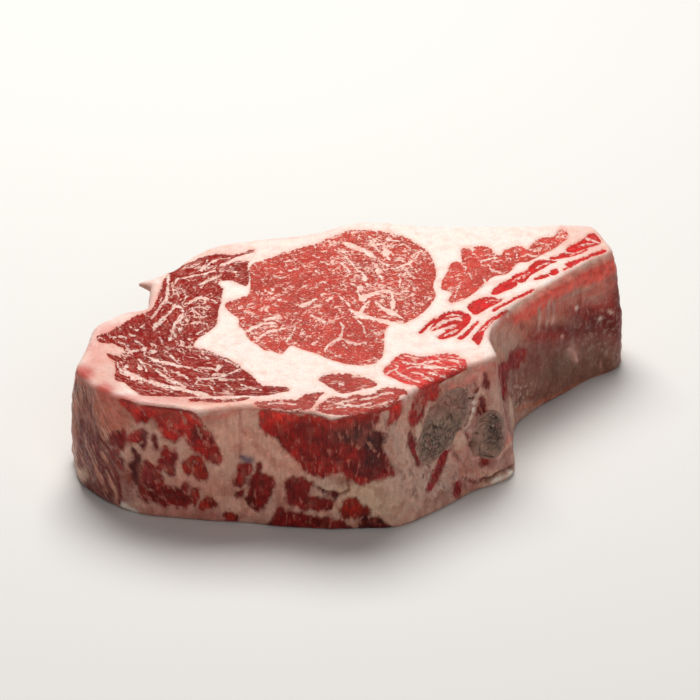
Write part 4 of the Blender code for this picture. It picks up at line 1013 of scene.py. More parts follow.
def wall_lean(skin):
    """Depth inside the lean that shows on the wall, its tint, and how much of it is a dark slit."""
    count = len(skin.points)
    lean, slit, weights = np.full(count, -FAR_OUT_PX), np.zeros(count), np.full(count, 1e-6)
    tint = np.tile(LEAN_TINTS["dull"] * 1e-6, (count, 1))
    for name, outline in WALL_LEAN_PX:
        depth = depth_inside(skin.pixels, smooth_loop(outline, 2), margin=10)
        lean = np.maximum(lean, depth)
        weight = np.exp(np.clip(depth, -9, 4) / WALL_TINT_BLUR_PX)
        weight *= 1.0 if name in BROAD_LEAN else NARROW_LEAN_WEIGHT
        weights += weight
        tint += LEAN_TINTS[name] * weight[:, None]
        if name == "dark":
            slit = np.maximum(slit, ramp(depth, *SLIT_PX))
    # Painted highlight: brighter red lean just below the top edge.
    upper = UPPER_LEAN_RED * np.exp(-(np.maximum(skin.sunk, 0.0) / UPPER_LEAN_REACH) ** 2)
    tint = blend(tint / weights[:, None], LEAN_TINTS["rim"], upper)
    return lean, zone_tint(skin.pixels, tint, WALL_LEAN_ZONES_PX, skin.facing), slit


def hidden_lean(skin):
    """A few streaks of lean, for the sides that the photograph doesn't show."""
    places = np.column_stack([skin.along, np.zeros(len(skin.points)), skin.height])
    return HIDDEN_STREAK_EDGE * (rough(places / (1.0, 1.0, 2.4), *HIDDEN_STREAKS) - HIDDEN_STREAK_LEVEL)


def veins_and_glints(skin):
    """Depth inside the white veins and the painted glints, and how red the membrane shines."""
    vein = np.where(skin.on_top > 0.5, vein_depth(skin.pixels, VEINS_PX), NO_VEIN_PX)
    vein = np.where(skin.is_seen, np.maximum(vein, vein_depth(skin.pixels, WALL_VEINS_AND_GLINTS_PX)), vein)
    return vein, ramp(vein_depth(skin.pixels, RED_STREAKS_PX), -2.4, 1.4) * skin.is_seen


def lean_tint(skin, muscle, wall_tint):
    """Tint of the lean and the strength of its marbling."""
    tint = np.stack([LEAN_TINTS[name] for name in muscle])
    tint = np.where(skin.is_wall[:, None], wall_tint, tint)
    tint = tint * (1 + 0.2 * rough(skin.points, *LEAN_CLOUDS))[:, None]
    marbling = np.array([MARBLING[name] for name in muscle])
    for middle, reach, change in MARBLING_ZONES_PX:
        marbling += change * spot(skin.pixels, middle, reach)
    return tint, np.where(skin.is_wall, MARBLING["wall"], marbling)


def fat_tint(skin):
    """Tint of the fat and the membrane, with painted shade along creases and a few painted glints drawn over
    it.
    """
    top = zone_tint(skin.pixels, FAT_TINTS["top"], TOP_ZONES_PX, 1.0)
    wall = zone_tint(skin.pixels, FAT_TINTS["wall"], WALL_ZONES_PX, skin.facing)
    tint = blend(top, wall, ramp(skin.sunk, *WALL_TINT_FROM))
    for name, width, line in WALL_LINES_PX:
        depth = vein_depth(skin.pixels, [(width, line)])
        over = ramp(depth, -1.3, max(0.7, 0.28 * width)) * ramp(skin.sunk, *LINES_FROM) * skin.facing
        tint = blend(tint, FAT_TINTS[name], over)
    return tint


def wall_finish(skin):
    """How streaky, how crumbly and how red below its rim the wall is."""
    across, wall = skin.pixels[:, 0], skin.is_wall
    streaky = ramp(across, *LEFT_END_FROM_PX) * wall
    streaky *= 1 - 0.85 * spot(skin.pixels, SMOOTH_MEMBRANE_PX, SMOOTH_REACH_PX, 2)
    streaky *= (0.7 + 0.5 * rough(skin.points, *STREAK_CLOUDS)) * (0.3 + 0.7 * skin.facing)
    rib_side = ramp(across, *RIB_SIDE_FROM_PX) * wall
    chine_side = ramp(across, *CHINE_SIDE_FROM_PX) * (1 - ramp(across, *CHINE_SIDE_ENDS_PX)) * wall
    streaky = np.clip(streaky + STREAKS_ELSEWHERE * wall * (1 - chine_side) * (1 - rib_side), 0, 1)
    crumbly = CRUMBS_ELSEWHERE * wall
    for middle, reach, amount in CRUMBLY_PX:
        crumbly = crumbly + amount * wall * spot(skin.pixels, middle, reach)
    below_rim = ramp(skin.sunk, *RED_RIM_FROM) * (1 - ramp(skin.sunk, *RED_RIM_ENDS)) * (skin.kind == 0)
    return streaky, np.clip(crumbly, 0, 1), below_rim * skin.facing * (1 - rib_side)


def fibre_places(skin, muscle):
    """Places shortened along the fibres of each muscle, so that a pattern drawn in them is long that way."""
    x, y = skin.points[:, 0], skin.points[:, 1]
    places = skin.points.copy()

    def lay(chosen, first, second):
        places[chosen, :2] = np.column_stack([first, second])[chosen]

    from_middle = skin.points[:, :2] - GRAIN_OF_CAP
    turn = np.arctan2(from_middle[:, 1], -from_middle[:, 0]) * GRAIN_RADIUS_OF_CAP
    lay(muscle == "cap", turn * GRAIN_SHORTENED["cap"], np.linalg.norm(from_middle, axis=1))
    for name, (east, north) in GRAIN_ALONG.items():
        lay(muscle == name, (x * east + y * north) * GRAIN_SHORTENED[name], y * east - x * north)
    leaning = STRAND_LEAN * ramp(skin.pixels[:, 0], *STRANDS_LEAN_FROM_PX) * skin.height
    lay(skin.is_wall, skin.along + leaning, np.full(len(places), WALL_GRAIN_PLANE))
    places[skin.is_wall, 2] *= WALL_GRAIN_SHORTENED
    return places


def relief(skin, lean, vein, slit):
    """How far each point stands out: rims of fat, sunken lean, lumps and folds of the membrane."""
    lean_share, vein_share = ramp(lean, -0.9, 0.9), ramp(vein, -0.6, 0.6)
    soft, fine = rough(skin.points, *SOFT_BUMPS), rough(skin.points, *FINE_BUMPS)

    def level(height, of_soft, of_fine):
        return height + of_soft * soft + of_fine * fine

    face = ((1 - lean_share) * level(*FAT_RELIEF) + lean_share * level(*LEAN_RELIEF)
            + VEIN_RIDGE * vein_share * lean_share)
    upright = skin.points / (1.0, 1.0, WALL_BUMPS_UPRIGHT)
    wall = WALL_LUMPS * rough(upright, *LUMPS) + WALL_FOLDS * rough(upright, *FOLDS) + WALL_FINE * fine
    wall -= WALL_LEAN_SUNK * ramp(lean, -3.0, 3.0) * (0.5 + slit)
    wall += WALL_VEIN_RIDGE * vein_share * lean_share
    for height, half_width, line in RIDGES_PX:
        near = np.clip(1 - line_distance(skin.pixels, np.array(line, float)) / half_width, 0, 1)
        wall += height * near * near * (3 - 2 * near) * skin.facing
    wall *= (1 - skin.on_top) * ramp(skin.height, *FOOT_RELIEF_FROM) * (skin.kind == 0)
    return np.where(skin.is_under, 0.0, face * skin.on_top * (skin.kind >= 0) + wall)


def fat_tag(skin):
    """How far the loose tip of fat is drawn out of the wall."""
    away = (skin.points - FAT_TAG) / FAT_TAG_HALF_SIZE
    share = np.exp(-(away ** 2).sum(1)) * (skin.kind == 0)
    return FAT_TAG_REACH * share[:, None] * FAT_TAG_DIRECTION


def make_flesh():
    """The whole cut but its bones: one closed skin that keeps lean, veins and tints for the shader."""
    points, faces, along, kind = skin_shape()
    flesh = make_mesh("steak_flesh", points, faces)
    skin = Skin(points, normals_of(flesh), along, kind)
    lean, muscle = face_lean(skin)
    lean_of_wall, wall_tint, slit = wall_lean(skin)
    lean = np.where(skin.is_seen, np.maximum(lean_of_wall, lean), lean)
    lean = np.where(skin.is_hidden, hidden_lean(skin), lean)
    vein, red = veins_and_glints(skin)
    streaky, crumbly, rim = wall_finish(skin)
    moved = points + skin.normals * relief(skin, lean, vein, slit)[:, None]
    move_points(flesh, moved + fat_tag(skin))

    store(flesh, "lean", lean / PX_PER_MM)
    store(flesh, "vein", vein / PX_PER_MM)
    store(flesh, "grain", fibre_places(skin, muscle))
    store(flesh, "wall", skin.on_wall, crumbly, rim, red)
    store(flesh, "lean_tint", *lean_tint(skin, muscle, wall_tint))
    store(flesh, "fat_tint", fat_tint(skin), streaky)
    return flesh


# ---------------------------------------------------------------- materials
# Patterns of noise: size in millimetres, detail, and the two levels between which the pattern grows from its
# first value to its last, or from 0 to 1 where no values are given.
PATTERNS = {
    "patches": (8.0, 2.0, 0.36, 0.64, -0.035, 0.035), "specks": (1.15, 3.0, 0.575, 0.66),
    "crumbs": (2.1, 4.0, 0.595, 0.635), "seams": (3.0, 2.0, 0.49, 0.60),
    "mottle": (3.0, 4.0, 0.3, 0.7, 0.88, 1.2), "fibre": (0.8, 3.0, 0.3, 0.7, 0.86, 1.12),
    "haze": (0.9, 4.0, 0.46, 0.66, 0.0, 0.34), "dark spots": (1.4, 3.0, 0.55, 0.70),
    "wall fibre": (1.6, 4.0, 0.34, 0.66, 0.76, 1.22), "wall mottle": (5.0, 3.0, 0.38, 0.62, 0.74, 1.2),
    "film": (4.0, 5.0, 0.50, 0.68), "sinew": (1.1, 4.0, 0.57, 0.68), "vein": (1.8, 3.0, 0.3, 0.7),
    "breath": (5.5, 3.0, 0.42, 0.72, 0.0, 0.26), "blood": (0.95, 4.0, 0.47, 0.55),
    "pale strands": (0.95, 4.0, 0.42, 0.36), "blotch": (4.6, 5.0, 0.47, 0.62),
    "shine": (3.6, 5.0, 0.47, 0.36), "crumb": (1.9, 5.0, 0.50, 0.62), "pit": (2.6, 5.0, 0.54, 0.66),
    "red rim": (2.6, 4.0, 0.42, 0.58), "grainy": (0.8, 3.0, 0.3, 0.7, 0.92, 1.05),
    "damp": (2.6, 3.0, 0.3, 0.7, 0.26, 0.46), "wet": (1.6, 3.0, 0.60, 0.68), "pores": (0.95, 3.0, 0.48, 0.58),
    "marrow": (2.4, 4.0, 0.3, 0.7, 0.8, 1.2), "chips": (0.9, 3.0, 0.57, 0.65), "pink": (3.2, 3.0, 0.5, 0.66),
    "damp bone": (1.5, 2.0, 0.3, 0.7, 0.36, 0.6),
}
PAINTS = tints(
    haze=(226, 140, 122), film=(180, 92, 76), sinew=(204, 126, 108), marbling=(250, 208, 192),
    dull_vein=(238, 184, 168), vein=(250, 226, 212), wall_vein=(180, 112, 92), blush=(244, 182, 166),
    seam=(222, 160, 140), blood=(94, 15, 10), pale_strand=(220, 158, 136), blotch=(196, 132, 120),
    crumb=(228, 196, 178), pit=(92, 44, 38), red=(140, 20, 16), red_rim=(214, 100, 84),
    pore=(52, 32, 26), chip=(214, 184, 160), pink=(170, 96, 82), vertebra_rim=(176, 132, 116),
    rib_rim=(168, 122, 106), floor=(226, 224, 220),
)


class Surface:
    """A node material that is written down as a chain of small steps."""

    def __init__(self, name):
        self.material = bpy.data.materials.new(name)
        self.material.use_nodes = True
        self.tree = self.material.node_tree
        self.shader = self.tree.nodes["Principled BSDF"]
        self.place = self.scaled(self.node("TexCoord", {}, "Object"), (1 / MM, 1 / MM, 1 / MM))

    def node(self, kind, inputs, output=0, **settings):
        """Add a node; an input is a number, a colour or another node's output."""
        made = self.tree.nodes.new("ShaderNode" + kind)
        for key, value in settings.items():
            setattr(made, key, value)
        for key, value in inputs.items():
            self.connect(made.inputs[key], value)
        return made.outputs[output]

    def connect(self, socket, value):
        if isinstance(value, bpy.types.NodeSocket):
            self.tree.links.new(value, socket)
        else:
            socket.default_value = value

    def set(self, **inputs):
        for key, value in inputs.items():
            self.connect(self.shader.inputs[key.replace("_", " ")], value)

    def math(self, operation, first, second=0.0):
        return self.node("Math", {0: first, 1: second}, operation=operation)

    def plus(self, total, *values):
        for value in values:
            total = self.math("ADD", total, value)
        return total

    def times(self, total, *values):
        for value in values:
            total = self.math("MULTIPLY", total, value)
        return total

    def minus(self, first, second):
        return self.math("SUBTRACT", first, second)

    def rest(self, share):
        return self.minus(1.0, share)

    def attribute(self, name, output="Fac"):
        return self.node("Attribute", {}, output, attribute_name=name)

    def colour_and_value(self, name):
        return self.attribute(name, "Color"), self.attribute(name, "Alpha")

    def scaled(self, vector, factors):
        return self.node("VectorMath", {0: vector, 1: factors}, operation="MULTIPLY")

    def upright(self, vector, factor):
        """The vector with its height multiplied, so that patterns in it are taller or flatter."""
        return self.scaled(vector, (1.0, 1.0, factor))

    def noise(self, vector, size, detail, output="Fac"):
        """Smooth noise with bumps of the given size."""
        return self.node("TexNoise", {"Vector": vector, "Scale": 1.0 / size, "Detail": detail}, output)

    def wobble(self, vector, size, detail):
        """Noise that swings round 0."""
        return self.minus(self.noise(vector, size, detail), 0.5)

    def pattern(self, name, vector, more=None):
        """A pattern of noise at the places; there is more of it where more is given."""
        size, detail, *levels = PATTERNS[name]
        value = self.noise(vector, size, detail)
        return self.smooth(value if more is None else self.plus(value, more), *levels)

    def cracks(self, vector, size):
        """Distance from the seams between cells of the given size, in cells."""
        return self.node("TexVoronoi", {"Vector": vector, "Scale": 1.0 / size}, feature="DISTANCE_TO_EDGE")

    def smooth(self, value, low, high, start=0.0, end=1.0):
        return self.node("MapRange", {"Value": value, "From Min": low, "From Max": high, "To Min": start,
                                      "To Max": end}, interpolation_type="SMOOTHSTEP")

    def mix(self, factor, first, second, kind="MIX"):
        return self.node("Mix", {0: factor, 6: first, 7: second}, 2, data_type="RGBA", blend_type=kind)

    def painted(self, colour, paint, *shares):
        """The colour with a share of a paint over it."""
        return self.mix(self.times(*shares), colour, rgba(PAINTS[paint]))

    def glazed(self, colour, paint, *shares):
        """The colour with a share of it darkened by a paint."""
        return self.mix(self.times(*shares), colour, self.mix(1.0, colour, rgba(PAINTS[paint]), "MULTIPLY"))

    def shade(self, colour, factor):
        """The colour made darker or lighter by a factor."""
        return self.node("VectorMath", {0: colour, "Scale": factor}, operation="SCALE")

    def bump(self, height, strength, distance):
        self.set(Normal=self.node("Bump", {"Height": height, "Strength": strength, "Distance": distance}))


def rgba(colour):
    return (*[float(value) for value in colour], 1.0)


class Flesh(Surface):
    """Raw meat: lean and fat told apart by the depth kept in the mesh, and fine marbling in the lean."""

    def __init__(self):
        super().__init__("raw_flesh")
        self.grain = self.attribute("grain", "Vector")
        self.lean_tint, self.marbling = self.colour_and_value("lean_tint")
        self.fat_tint, self.streaky = self.colour_and_value("fat_tint")
        wall, self.red = self.colour_and_value("wall")
        self.wall, self.crumbly, self.rim = self.node("SeparateColor", {0: wall}).node.outputs[:3]
        self.cut_face = self.rest(self.wall)
        curls = self.noise(self.grain, 3.0, 2.0, "Color")
        self.drift = self.node("VectorMath", {0: curls, 1: (0.5, 0.5, 0.5)}, operation="SUBTRACT")

    def warped(self, reach):
        """The grain, drawn aside in curls by about the reach."""
        aside = self.scaled(self.drift, (reach, reach, reach))
        return self.node("VectorMath", {0: self.grain, 1: aside}, operation="ADD")

    def edges(self):
        """Share of lean and of vein, crisp on the cut face and frayed on the wall, and the ragged depth."""
        fray = self.times(self.wobble(self.place, 1.2, 4.0), 1.3)
        wall_fray = self.times(self.wobble(self.upright(self.grain, 1.3), 2.6, 5.0), self.wall, 4.4)
        ragged = self.plus(self.attribute("lean"), fray)
        softness = self.plus(0.16, self.times(self.wall, 0.75))
        edge = self.plus(ragged, wall_fray, self.times(self.wall, 0.5))
        lean = self.smooth(self.math("DIVIDE", edge, softness), -1.0, 1.0)
        vein_fray = self.times(self.wobble(self.place, 1.3, 4.0), 2.0)
        vein = self.plus(self.attribute("vein"), vein_fray, self.times(self.cut_face, 0.02))
        return lean, self.smooth(vein, -0.16, 0.12), ragged

    def fine_marbling(self):
        """Specks, bolder crumbs and curly seams. More of them show where the marbling is higher."""
        more = self.times(self.minus(self.marbling, 0.5), 0.55)
        more = self.plus(self.pattern("patches", self.place), more)
        specks = self.pattern("specks", self.warped(3.0), more)
        crumbs = self.pattern("crumbs", self.warped(6.0), more)
        swing = self.math("ABSOLUTE", self.wobble(self.warped(7.0), 7.0, 3.5))
        kept = self.times(self.pattern("seams", self.warped(3.0), more), 0.021)
        seams = self.smooth(self.minus(kept, swing), -0.006, 0.006)
        bold = self.math("MAXIMUM", self.times(crumbs, 0.92), self.times(seams, 0.9))
        bold = self.times(bold, self.rest(self.times(self.wall, 0.85)))
        return self.math("MAXIMUM", self.times(specks, 0.62), bold)

    def bare_lean(self):
        """Lean without its fat: mottled, with fibres along the grain; duller and filmed over on the wall."""
        place, grain, wall = self.place, self.grain, self.wall
        mottle = self.times(self.pattern("mottle", place), self.pattern("fibre", grain))
        colour = self.shade(self.lean_tint, mottle)
        marbled = self.smooth(self.marbling, 0.30, 0.42, 0.3, 1.0)
        haze = self.pattern("haze", self.warped(4.0))
        colour = self.painted(colour, "haze", haze, marbled, self.cut_face)
        spots = self.times(self.pattern("dark spots", place), 0.3)
        colour = self.mix(spots, colour, self.shade(colour, 0.55))
        wall_mottle = self.times(self.pattern("wall fibre", grain), self.pattern("wall mottle", place))
        colour = self.shade(colour, self.plus(self.cut_face, self.times(wall, wall_mottle)))
        colour = self.painted(colour, "film", self.pattern("film", self.upright(grain, 1.2)), wall, 0.42)
        return self.painted(colour, "sinew", self.pattern("sinew", self.upright(grain, 0.8)), wall, 0.5)

    def lean_colour(self, vein, marbling):
        """Lean with its marbling and its white veins, and the painted glints that are drawn as veins."""
        pale = self.smooth(self.marbling, 0.42, 0.50, 0.68, 0.88)
        colour = self.mix(marbling, self.bare_lean(), self.painted(self.lean_tint, "marbling", pale))
        white = self.mix(self.pattern("vein", self.place), rgba(PAINTS["dull_vein"]), rgba(PAINTS["vein"]))
        white = self.mix(self.plus(pale, 0.04), self.lean_tint, white)
        white = self.painted(white, "wall_vein", self.wall, 0.9)
        return self.mix(self.times(vein, self.rest(self.times(self.wall, 0.3))), colour, white)

    def waxy_fat(self, ragged_depth):
        """Fat: waxy and pink close to the lean, with faint seams."""
        halo = self.times(self.smooth(ragged_depth, -1.6, 0.0), 0.42, self.cut_face)
        colour = self.glazed(self.fat_tint, "blush", self.plus(self.pattern("breath", self.place), halo))
        seams = self.smooth(self.cracks(self.warped(5.0), 7.5), 0.0, 0.04, 0.20, 0.0)
        return self.glazed(colour, "seam", seams, self.cut_face)

    def strands(self, colour):
        """Strands of blood and sinew on the membrane, and blotches and a shine where they are few."""
        along = self.upright(self.grain, 0.45)
        colour = self.painted(colour, "blood", self.pattern("blood", along), self.streaky, 0.8)
        colour = self.painted(colour, "pale_strand", self.pattern("pale strands", along), self.streaky, 0.46)
        calm = self.times(self.wall, self.rest(self.times(self.streaky, 0.7)))
        across = self.upright(self.place, 0.8)
        colour = self.glazed(colour, "blotch", self.pattern("blotch", across), calm, 0.42)
        return self.mix(self.times(self.pattern("shine", across), calm, 0.3), colour, self.shade(colour, 1.6))

    def fat_colour(self, ragged_depth, crumb, pit):
        """Fat and membrane, with the crumbs and pits that the saw left round the bones."""
        colour = self.strands(self.waxy_fat(ragged_depth))
        colour = self.painted(colour, "crumb", crumb, 0.6)
        colour = self.painted(colour, "pit", pit, 0.7)
        red = self.plus(self.red, self.times(self.wobble(self.place, 1.6, 4.0), 1.2))
        colour = self.painted(colour, "red", self.smooth(red, 0.35, 0.75), 0.85)
        red_rim = self.pattern("red rim", self.upright(self.grain, 2.0))
        colour = self.painted(colour, "red_rim", red_rim, self.rim, 0.5)
        return self.shade(colour, self.pattern("grainy", self.place))


def flesh_material():
    made = Flesh()
    plus, times, place, wall = made.plus, made.times, made.place, made.wall
    lean, vein, ragged_depth = made.edges()
    marbling = made.fine_marbling()
    crumb = times(made.pattern("crumb", place), made.crumbly)
    pit = times(made.pattern("pit", made.upright(place, 0.7)), made.crumbly)
    fatness = made.rest(times(lean, made.rest(vein)))
    colour = made.mix(lean, made.fat_colour(ragged_depth, crumb, pit), made.lean_colour(vein, marbling))
    gloss = plus(0.05, times(fatness, 0.25), times(made.pattern("wet", place), 0.2))
    made.set(Base_Color=colour, Roughness=plus(made.pattern("damp", place), times(fatness, 0.06)),
             Subsurface_Weight=0.3, Subsurface_Radius=(1.0, 0.4, 0.25), Subsurface_Scale=0.0016,
             Specular_IOR_Level=plus(times(made.cut_face, gloss), times(wall, 0.2)))
    grit = plus(times(made.noise(place, 0.55, 3.0), 0.6), times(made.math("MAXIMUM", fatness, marbling), 0.5))
    folds = times(made.smooth(wall, 0.75, 1.0), 2.4, made.wobble(made.grain, 1.9, 5.0))
    made.bump(plus(grit, folds, times(crumb, 0.6), times(pit, -0.9)), 0.8, 0.00034)
    return made.material


def bone_material(name, rim_paint):
    """Sawn bone: a damp grey-brown middle, dark pores and pale splinters, inside a thin pale rim."""
    made = Surface(name)
    plus, times, place = made.plus, made.times, made.place
    marrow, porous = made.colour_and_value("marrow")
    depth = plus(made.attribute("bone_depth"), times(made.wobble(place, 2.2, 3.0), 1.4))
    pores = times(made.pattern("pores", place), porous)
    chips = times(made.pattern("chips", made.upright(place, 0.7)), plus(times(porous, 0.8), 0.2))
    colour = made.painted(made.shade(marrow, made.pattern("marrow", place)), "pore", pores, 0.85)
    colour = made.painted(colour, "chip", chips, 0.8)
    colour = made.painted(colour, "pink", made.pattern("pink", place), 0.25)
    made.set(Base_Color=made.painted(colour, rim_paint, made.smooth(depth, 0.1, 0.7, 1.0, 0.0)),
             Roughness=made.pattern("damp bone", place),
             Subsurface_Weight=0.1, Subsurface_Radius=(1.0, 0.5, 0.3), Subsurface_Scale=0.0012)
    made.bump(made.minus(plus(made.noise(place, 0.6, 3.0), chips), pores), 0.8, 0.0003)
    return made.material


# ---------------------------------------------------------------- bones
CHINE_BONE = (33.4, -49.8, 30.6)
CHINE_BONE_RADII = (9.2, 17.0, 15.6)
CHINE_BONE_TURN = math.radians(44)
CHINE_BONE_LEAN = math.radians(53)
# Middle line of the rib: x, y, height, swell of the section.
RIB_LINE = [
    (56.2, -48.0, 20.4, 1.16), (49.6, -34.8, 19.8, 1.14), (44.6, -21.0, 19.0, 1.04), (45.4, -7.0, 17.6, 1.0),
    (54.0, 8.6, 15.6, 1.02), (65.6, 24.4, 13.8, 1.04), (79.0, 42.0, 12.8, 1.04), (90.6, 57.4, 12.4, 1.04),
    (107.0, 75.0, 12.4, 1.04),
]
BONE_STANDS_OUT = 0.14    # of the flesh round it
BONE_TINT = linear(156, 118, 100)
BONE_PORES = 0.12
BONE_RELIEF = (0.12, 0.16, 0.16)       # height of the grit, height of the bumps, level
BONE_RELIEF_FROM = (0.2, 1.6)          # millimetres inside the rim
# Places on the sawn bones: middle, reach, tint, strength, extra pores.
BONE_ZONES_PX = [
    ((440, 404), (16, 10), linear(170, 108, 90), 0.9, 0.0),
    ((430, 442), (14, 14), linear(142, 112, 96), 0.8, 0.9),
    ((450, 424), (12, 12), linear(148, 116, 98), 0.5, 0.5),
    ((468, 402), (6, 14), linear(136, 92, 84), 0.9, 0.1),
    ((480, 434), (6, 18), linear(160, 118, 102), 0.6, -0.1),
    ((494, 430), (7, 15), linear(100, 68, 54), 1.0, 0.8),
    ((504, 440), (4, 12), linear(158, 112, 98), 0.8, 0.0),
]


def closed_tube(rings):
    """Faces of a closed tube through rings of equal count, with a point added at either end."""
    count, around = len(rings), len(rings[0])
    first, last, top = count * around, count * around + 1, (count - 1) * around
    pairs = [(here, (here + 1) % around) for here in range(around)]
    faces = bands(count, around)
    faces += [(first, ahead, here) for here, ahead in pairs]
    faces += [(last, top + here, top + ahead) for here, ahead in pairs]
    return faces


def chine_ball(around, up):
    """The cut vertebra: points and faces of an oval ball that leans in the chine face, and its turn."""
    polar = np.linspace(math.pi, 0, up + 1)[1:-1]
    angle = np.linspace(0, 2 * math.pi, around, endpoint=False)
    rings = [np.column_stack([math.sin(p) * np.cos(angle), math.sin(p) * np.sin(angle),
                              np.full(around, math.cos(p))]) for p in polar]
    round_ball = np.vstack(rings + [[(0, 0, -1), (0, 0, 1)]])
    turn = np.array(Euler((0.0, CHINE_BONE_LEAN, CHINE_BONE_TURN)).to_matrix())
    return (round_ball * CHINE_BONE_RADII) @ turn.T + CHINE_BONE, closed_tube(rings), turn


def inside_chine_rim(points, turn):
    """How far points of the vertebra are inside the rim of its cut."""
    local = (points - CHINE_BONE) @ turn / CHINE_BONE_RADII
    return (1 - np.hypot(local[:, 0], local[:, 2])) * CHINE_BONE_RADII[0]


def rib_course(count):
    """The rib's smooth middle line: x, y, height and swell, with shorter steps towards both ends."""
    curve = smooth_line(RIB_LINE, 12)
    reach = np.concatenate([[0], np.cumsum(np.linalg.norm(np.diff(curve[:, :3], axis=0), axis=1))])
    wanted = (1 - np.cos(np.linspace(0, math.pi, count))) / 2 * reach[-1]
    return np.stack([np.interp(wanted, reach, curve[:, axis]) for axis in range(4)], 1)


def rib_tube(around, along, end_rings):
    """The rib: a bent tube of oval section with flat ends, dense at both ends."""
    middle = rib_course(along)
    direction = unit(np.gradient(middle[:, :2], axis=0))
    angle = np.linspace(0, 2 * math.pi, around, endpoint=False)

    def ring(index, share):
        x, y, height, swell = middle[index]
        wide = RIB_HALF_WIDTH * swell * share * np.cos(angle)
        return np.column_stack([x - direction[index, 1] * wide, y + direction[index, 0] * wide,
                                height + RIB_HALF_HEIGHT * swell * share * np.sin(angle)])

    caps = np.linspace(0, 1, end_rings + 1)[1:-1]
    rings = [ring(0, share) for share in caps] + [ring(index, 1.0) for index in range(along)]
    rings += [ring(along - 1, share) for share in caps[::-1]]
    return np.vstack(rings + [middle[:1, :3], middle[-1:, :3]]), closed_tube(rings)


def inside_rib_rim(points):
    """How far points at the rib's ends are inside its rim."""
    course = rib_course(60)
    aside = line_distance(points[:, :2], course[:, :2])
    nearest = ((points[:, None, :2] - course[None, :, :2]) ** 2).sum(2).argmin(1)
    height, swell = course[nearest, 2], course[nearest, 3]
    share = np.hypot(aside / (RIB_HALF_WIDTH * swell), (points[:, 2] - height) / (RIB_HALF_HEIGHT * swell))
    return (1 - share) * RIB_HALF_WIDTH * swell


def laid_on_skin(points, flesh_tree):
    """The points, drawn back to the flesh where they stand out of it, and 1 for each of those."""
    placed, bare = points.copy(), np.zeros(len(points))
    shift = np.array((*PLAN_SHIFT, 0.0))
    for number, point in enumerate(points):
        nearest, normal, _, _ = flesh_tree.find_nearest(Vector((point + shift) * MM))
        nearest, normal = np.array(nearest) / MM - shift, np.array(normal)
        if (point - nearest) @ normal > BONE_STANDS_OUT:
            placed[number] = nearest + normal * BONE_STANDS_OUT
            bare[number] = 1.0
    return placed, bare


def make_bone(name, points, faces, flesh_tree, inside_rim):
    """A bone whose bare ends lie on the skin of the flesh, standing out of it by a hair."""
    placed, bare = laid_on_skin(points, flesh_tree)
    depth, pixels = inside_rim(placed), to_photo(placed)
    bone = make_mesh(name, placed, faces)
    of_grit, of_bumps, level = BONE_RELIEF
    out = of_grit * rough(placed, *BONE_GRIT) + of_bumps * rough(placed, *BONE_BUMPS) + level
    out *= ramp(depth, *BONE_RELIEF_FROM)
    move_points(bone, placed + normals_of(bone) * (out * bare)[:, None])
    marrow, porous = np.tile(BONE_TINT, (len(placed), 1)), np.full(len(placed), BONE_PORES)
    for middle, reach, tint, strength, pores in BONE_ZONES_PX:
        share = spot(pixels, middle, reach)
        marrow = blend(marrow, tint, strength * share)
        porous += pores * share
    store(bone, "bone_depth", depth)
    store(bone, "marrow", marrow, np.clip(porous, 0, 1))
    return bone


# ---------------------------------------------------------------- floor, light and camera, in metres
FLOOR_HALF_SIZE = 3.0
FLOOR_BELOW = 0.0002
LIGHT_AIM = (0.0, 0.0, 0.02)
WORLD_COLOUR = (0.9, 0.92, 0.95, 1.0)
WORLD_STRENGTH = 0.14
CLIP_END = 50.0


def make_floor():
    mesh = bpy.data.meshes.new("floor")
    corners = np.array([(-1, -1, 0), (1, -1, 0), (1, 1, 0), (-1, 1, 0)]) * FLOOR_HALF_SIZE
    mesh.from_pydata(corners.tolist(), [], [(0, 1, 2, 3)])
    floor = bpy.data.objects.new("floor", mesh)
    floor.location.z = -FLOOR_BELOW
    bpy.context.scene.collection.objects.link(floor)
    surface = Surface("floor")
    surface.set(Base_Color=rgba(PAINTS["floor"]), Roughness=0.8)
    mesh.materials.append(surface.material)


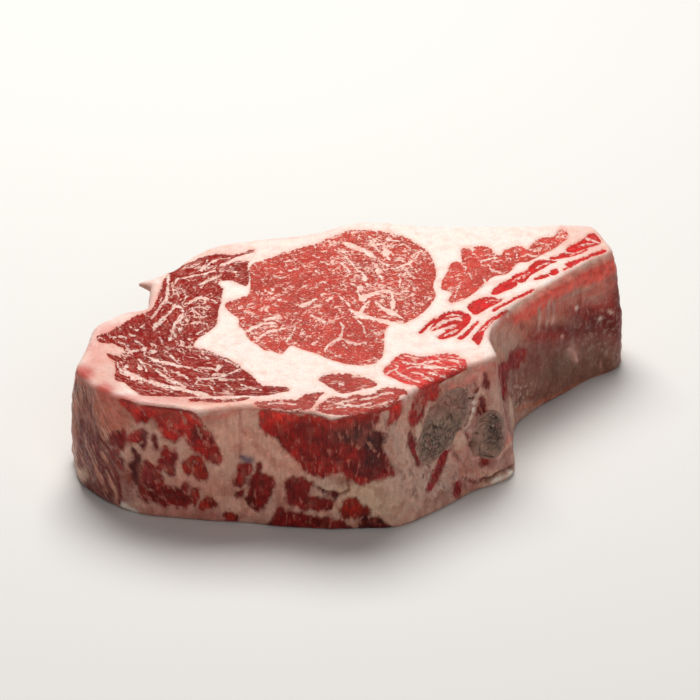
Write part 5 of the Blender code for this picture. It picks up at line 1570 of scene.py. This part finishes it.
def add_light(name, place, size, watts, colour):
    lamp = bpy.data.lights.new(name, "AREA")
    lamp.size = size
    lamp.energy = watts
    lamp.color = colour
    item = bpy.data.objects.new(name, lamp)
    item.location = place
    item.rotation_euler = (Vector(LIGHT_AIM) - Vector(place)).to_track_quat("-Z", "Y").to_euler()
    bpy.context.scene.collection.objects.link(item)


def add_world():
    world = bpy.data.worlds.new("studio")
    world.use_nodes = True
    background = world.node_tree.nodes["Background"].inputs
    background["Color"].default_value = WORLD_COLOUR
    background["Strength"].default_value = WORLD_STRENGTH
    bpy.context.scene.world = world
    bpy.context.scene.view_settings.view_transform = "Standard"


def add_camera():
    lens = bpy.data.cameras.new("camera")
    lens.sensor_width = SENSOR
    lens.lens = SENSOR * FOCAL_PX / PHOTO_PX
    lens.clip_end = CLIP_END
    camera = bpy.data.objects.new("camera", lens)
    place = CAMERA_PLACE.copy()
    place[:2] += PLAN_SHIFT
    camera.location = place * MM
    camera.rotation_euler = (math.pi / 2 - CAMERA_TILT, 0.0, 0.0)
    bpy.context.scene.collection.objects.link(camera)
    bpy.context.scene.camera = camera


def main():
    flesh = make_flesh()
    flesh.data.materials.append(flesh_material())
    tree = BVHTree.FromObject(flesh, bpy.context.evaluated_depsgraph_get())
    ball, faces, turn = chine_ball(around=110, up=90)
    vertebra = make_bone("sawn_vertebra", ball, faces, tree, lambda points: inside_chine_rim(points, turn))
    rib = make_bone("sawn_rib", *rib_tube(around=80, along=90, end_rings=34), tree, inside_rib_rim)
    vertebra.data.materials.append(bone_material("vertebra_bone", "vertebra_rim"))
    rib.data.materials.append(bone_material("rib_bone", "rib_rim"))

    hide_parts(*[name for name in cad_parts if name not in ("rib_bone", "vertebra_bone")])
    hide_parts("vertebra_bone")
    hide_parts("rib_bone")
    for piece, slot in ((flesh, "lean"), (vertebra, "bone"), (rib, "bone")):
        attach(piece, "root")

    make_floor()
    add_light("softbox", place=(-0.1, 0.55, 1.15), size=0.8, watts=19.0, colour=(1.0, 0.99, 0.97))
    add_light("fill", place=(0.25, -1.3, 0.9), size=0.7, watts=4.5, colour=(1.0, 0.99, 0.98))
    add_world()
    add_camera()


main()
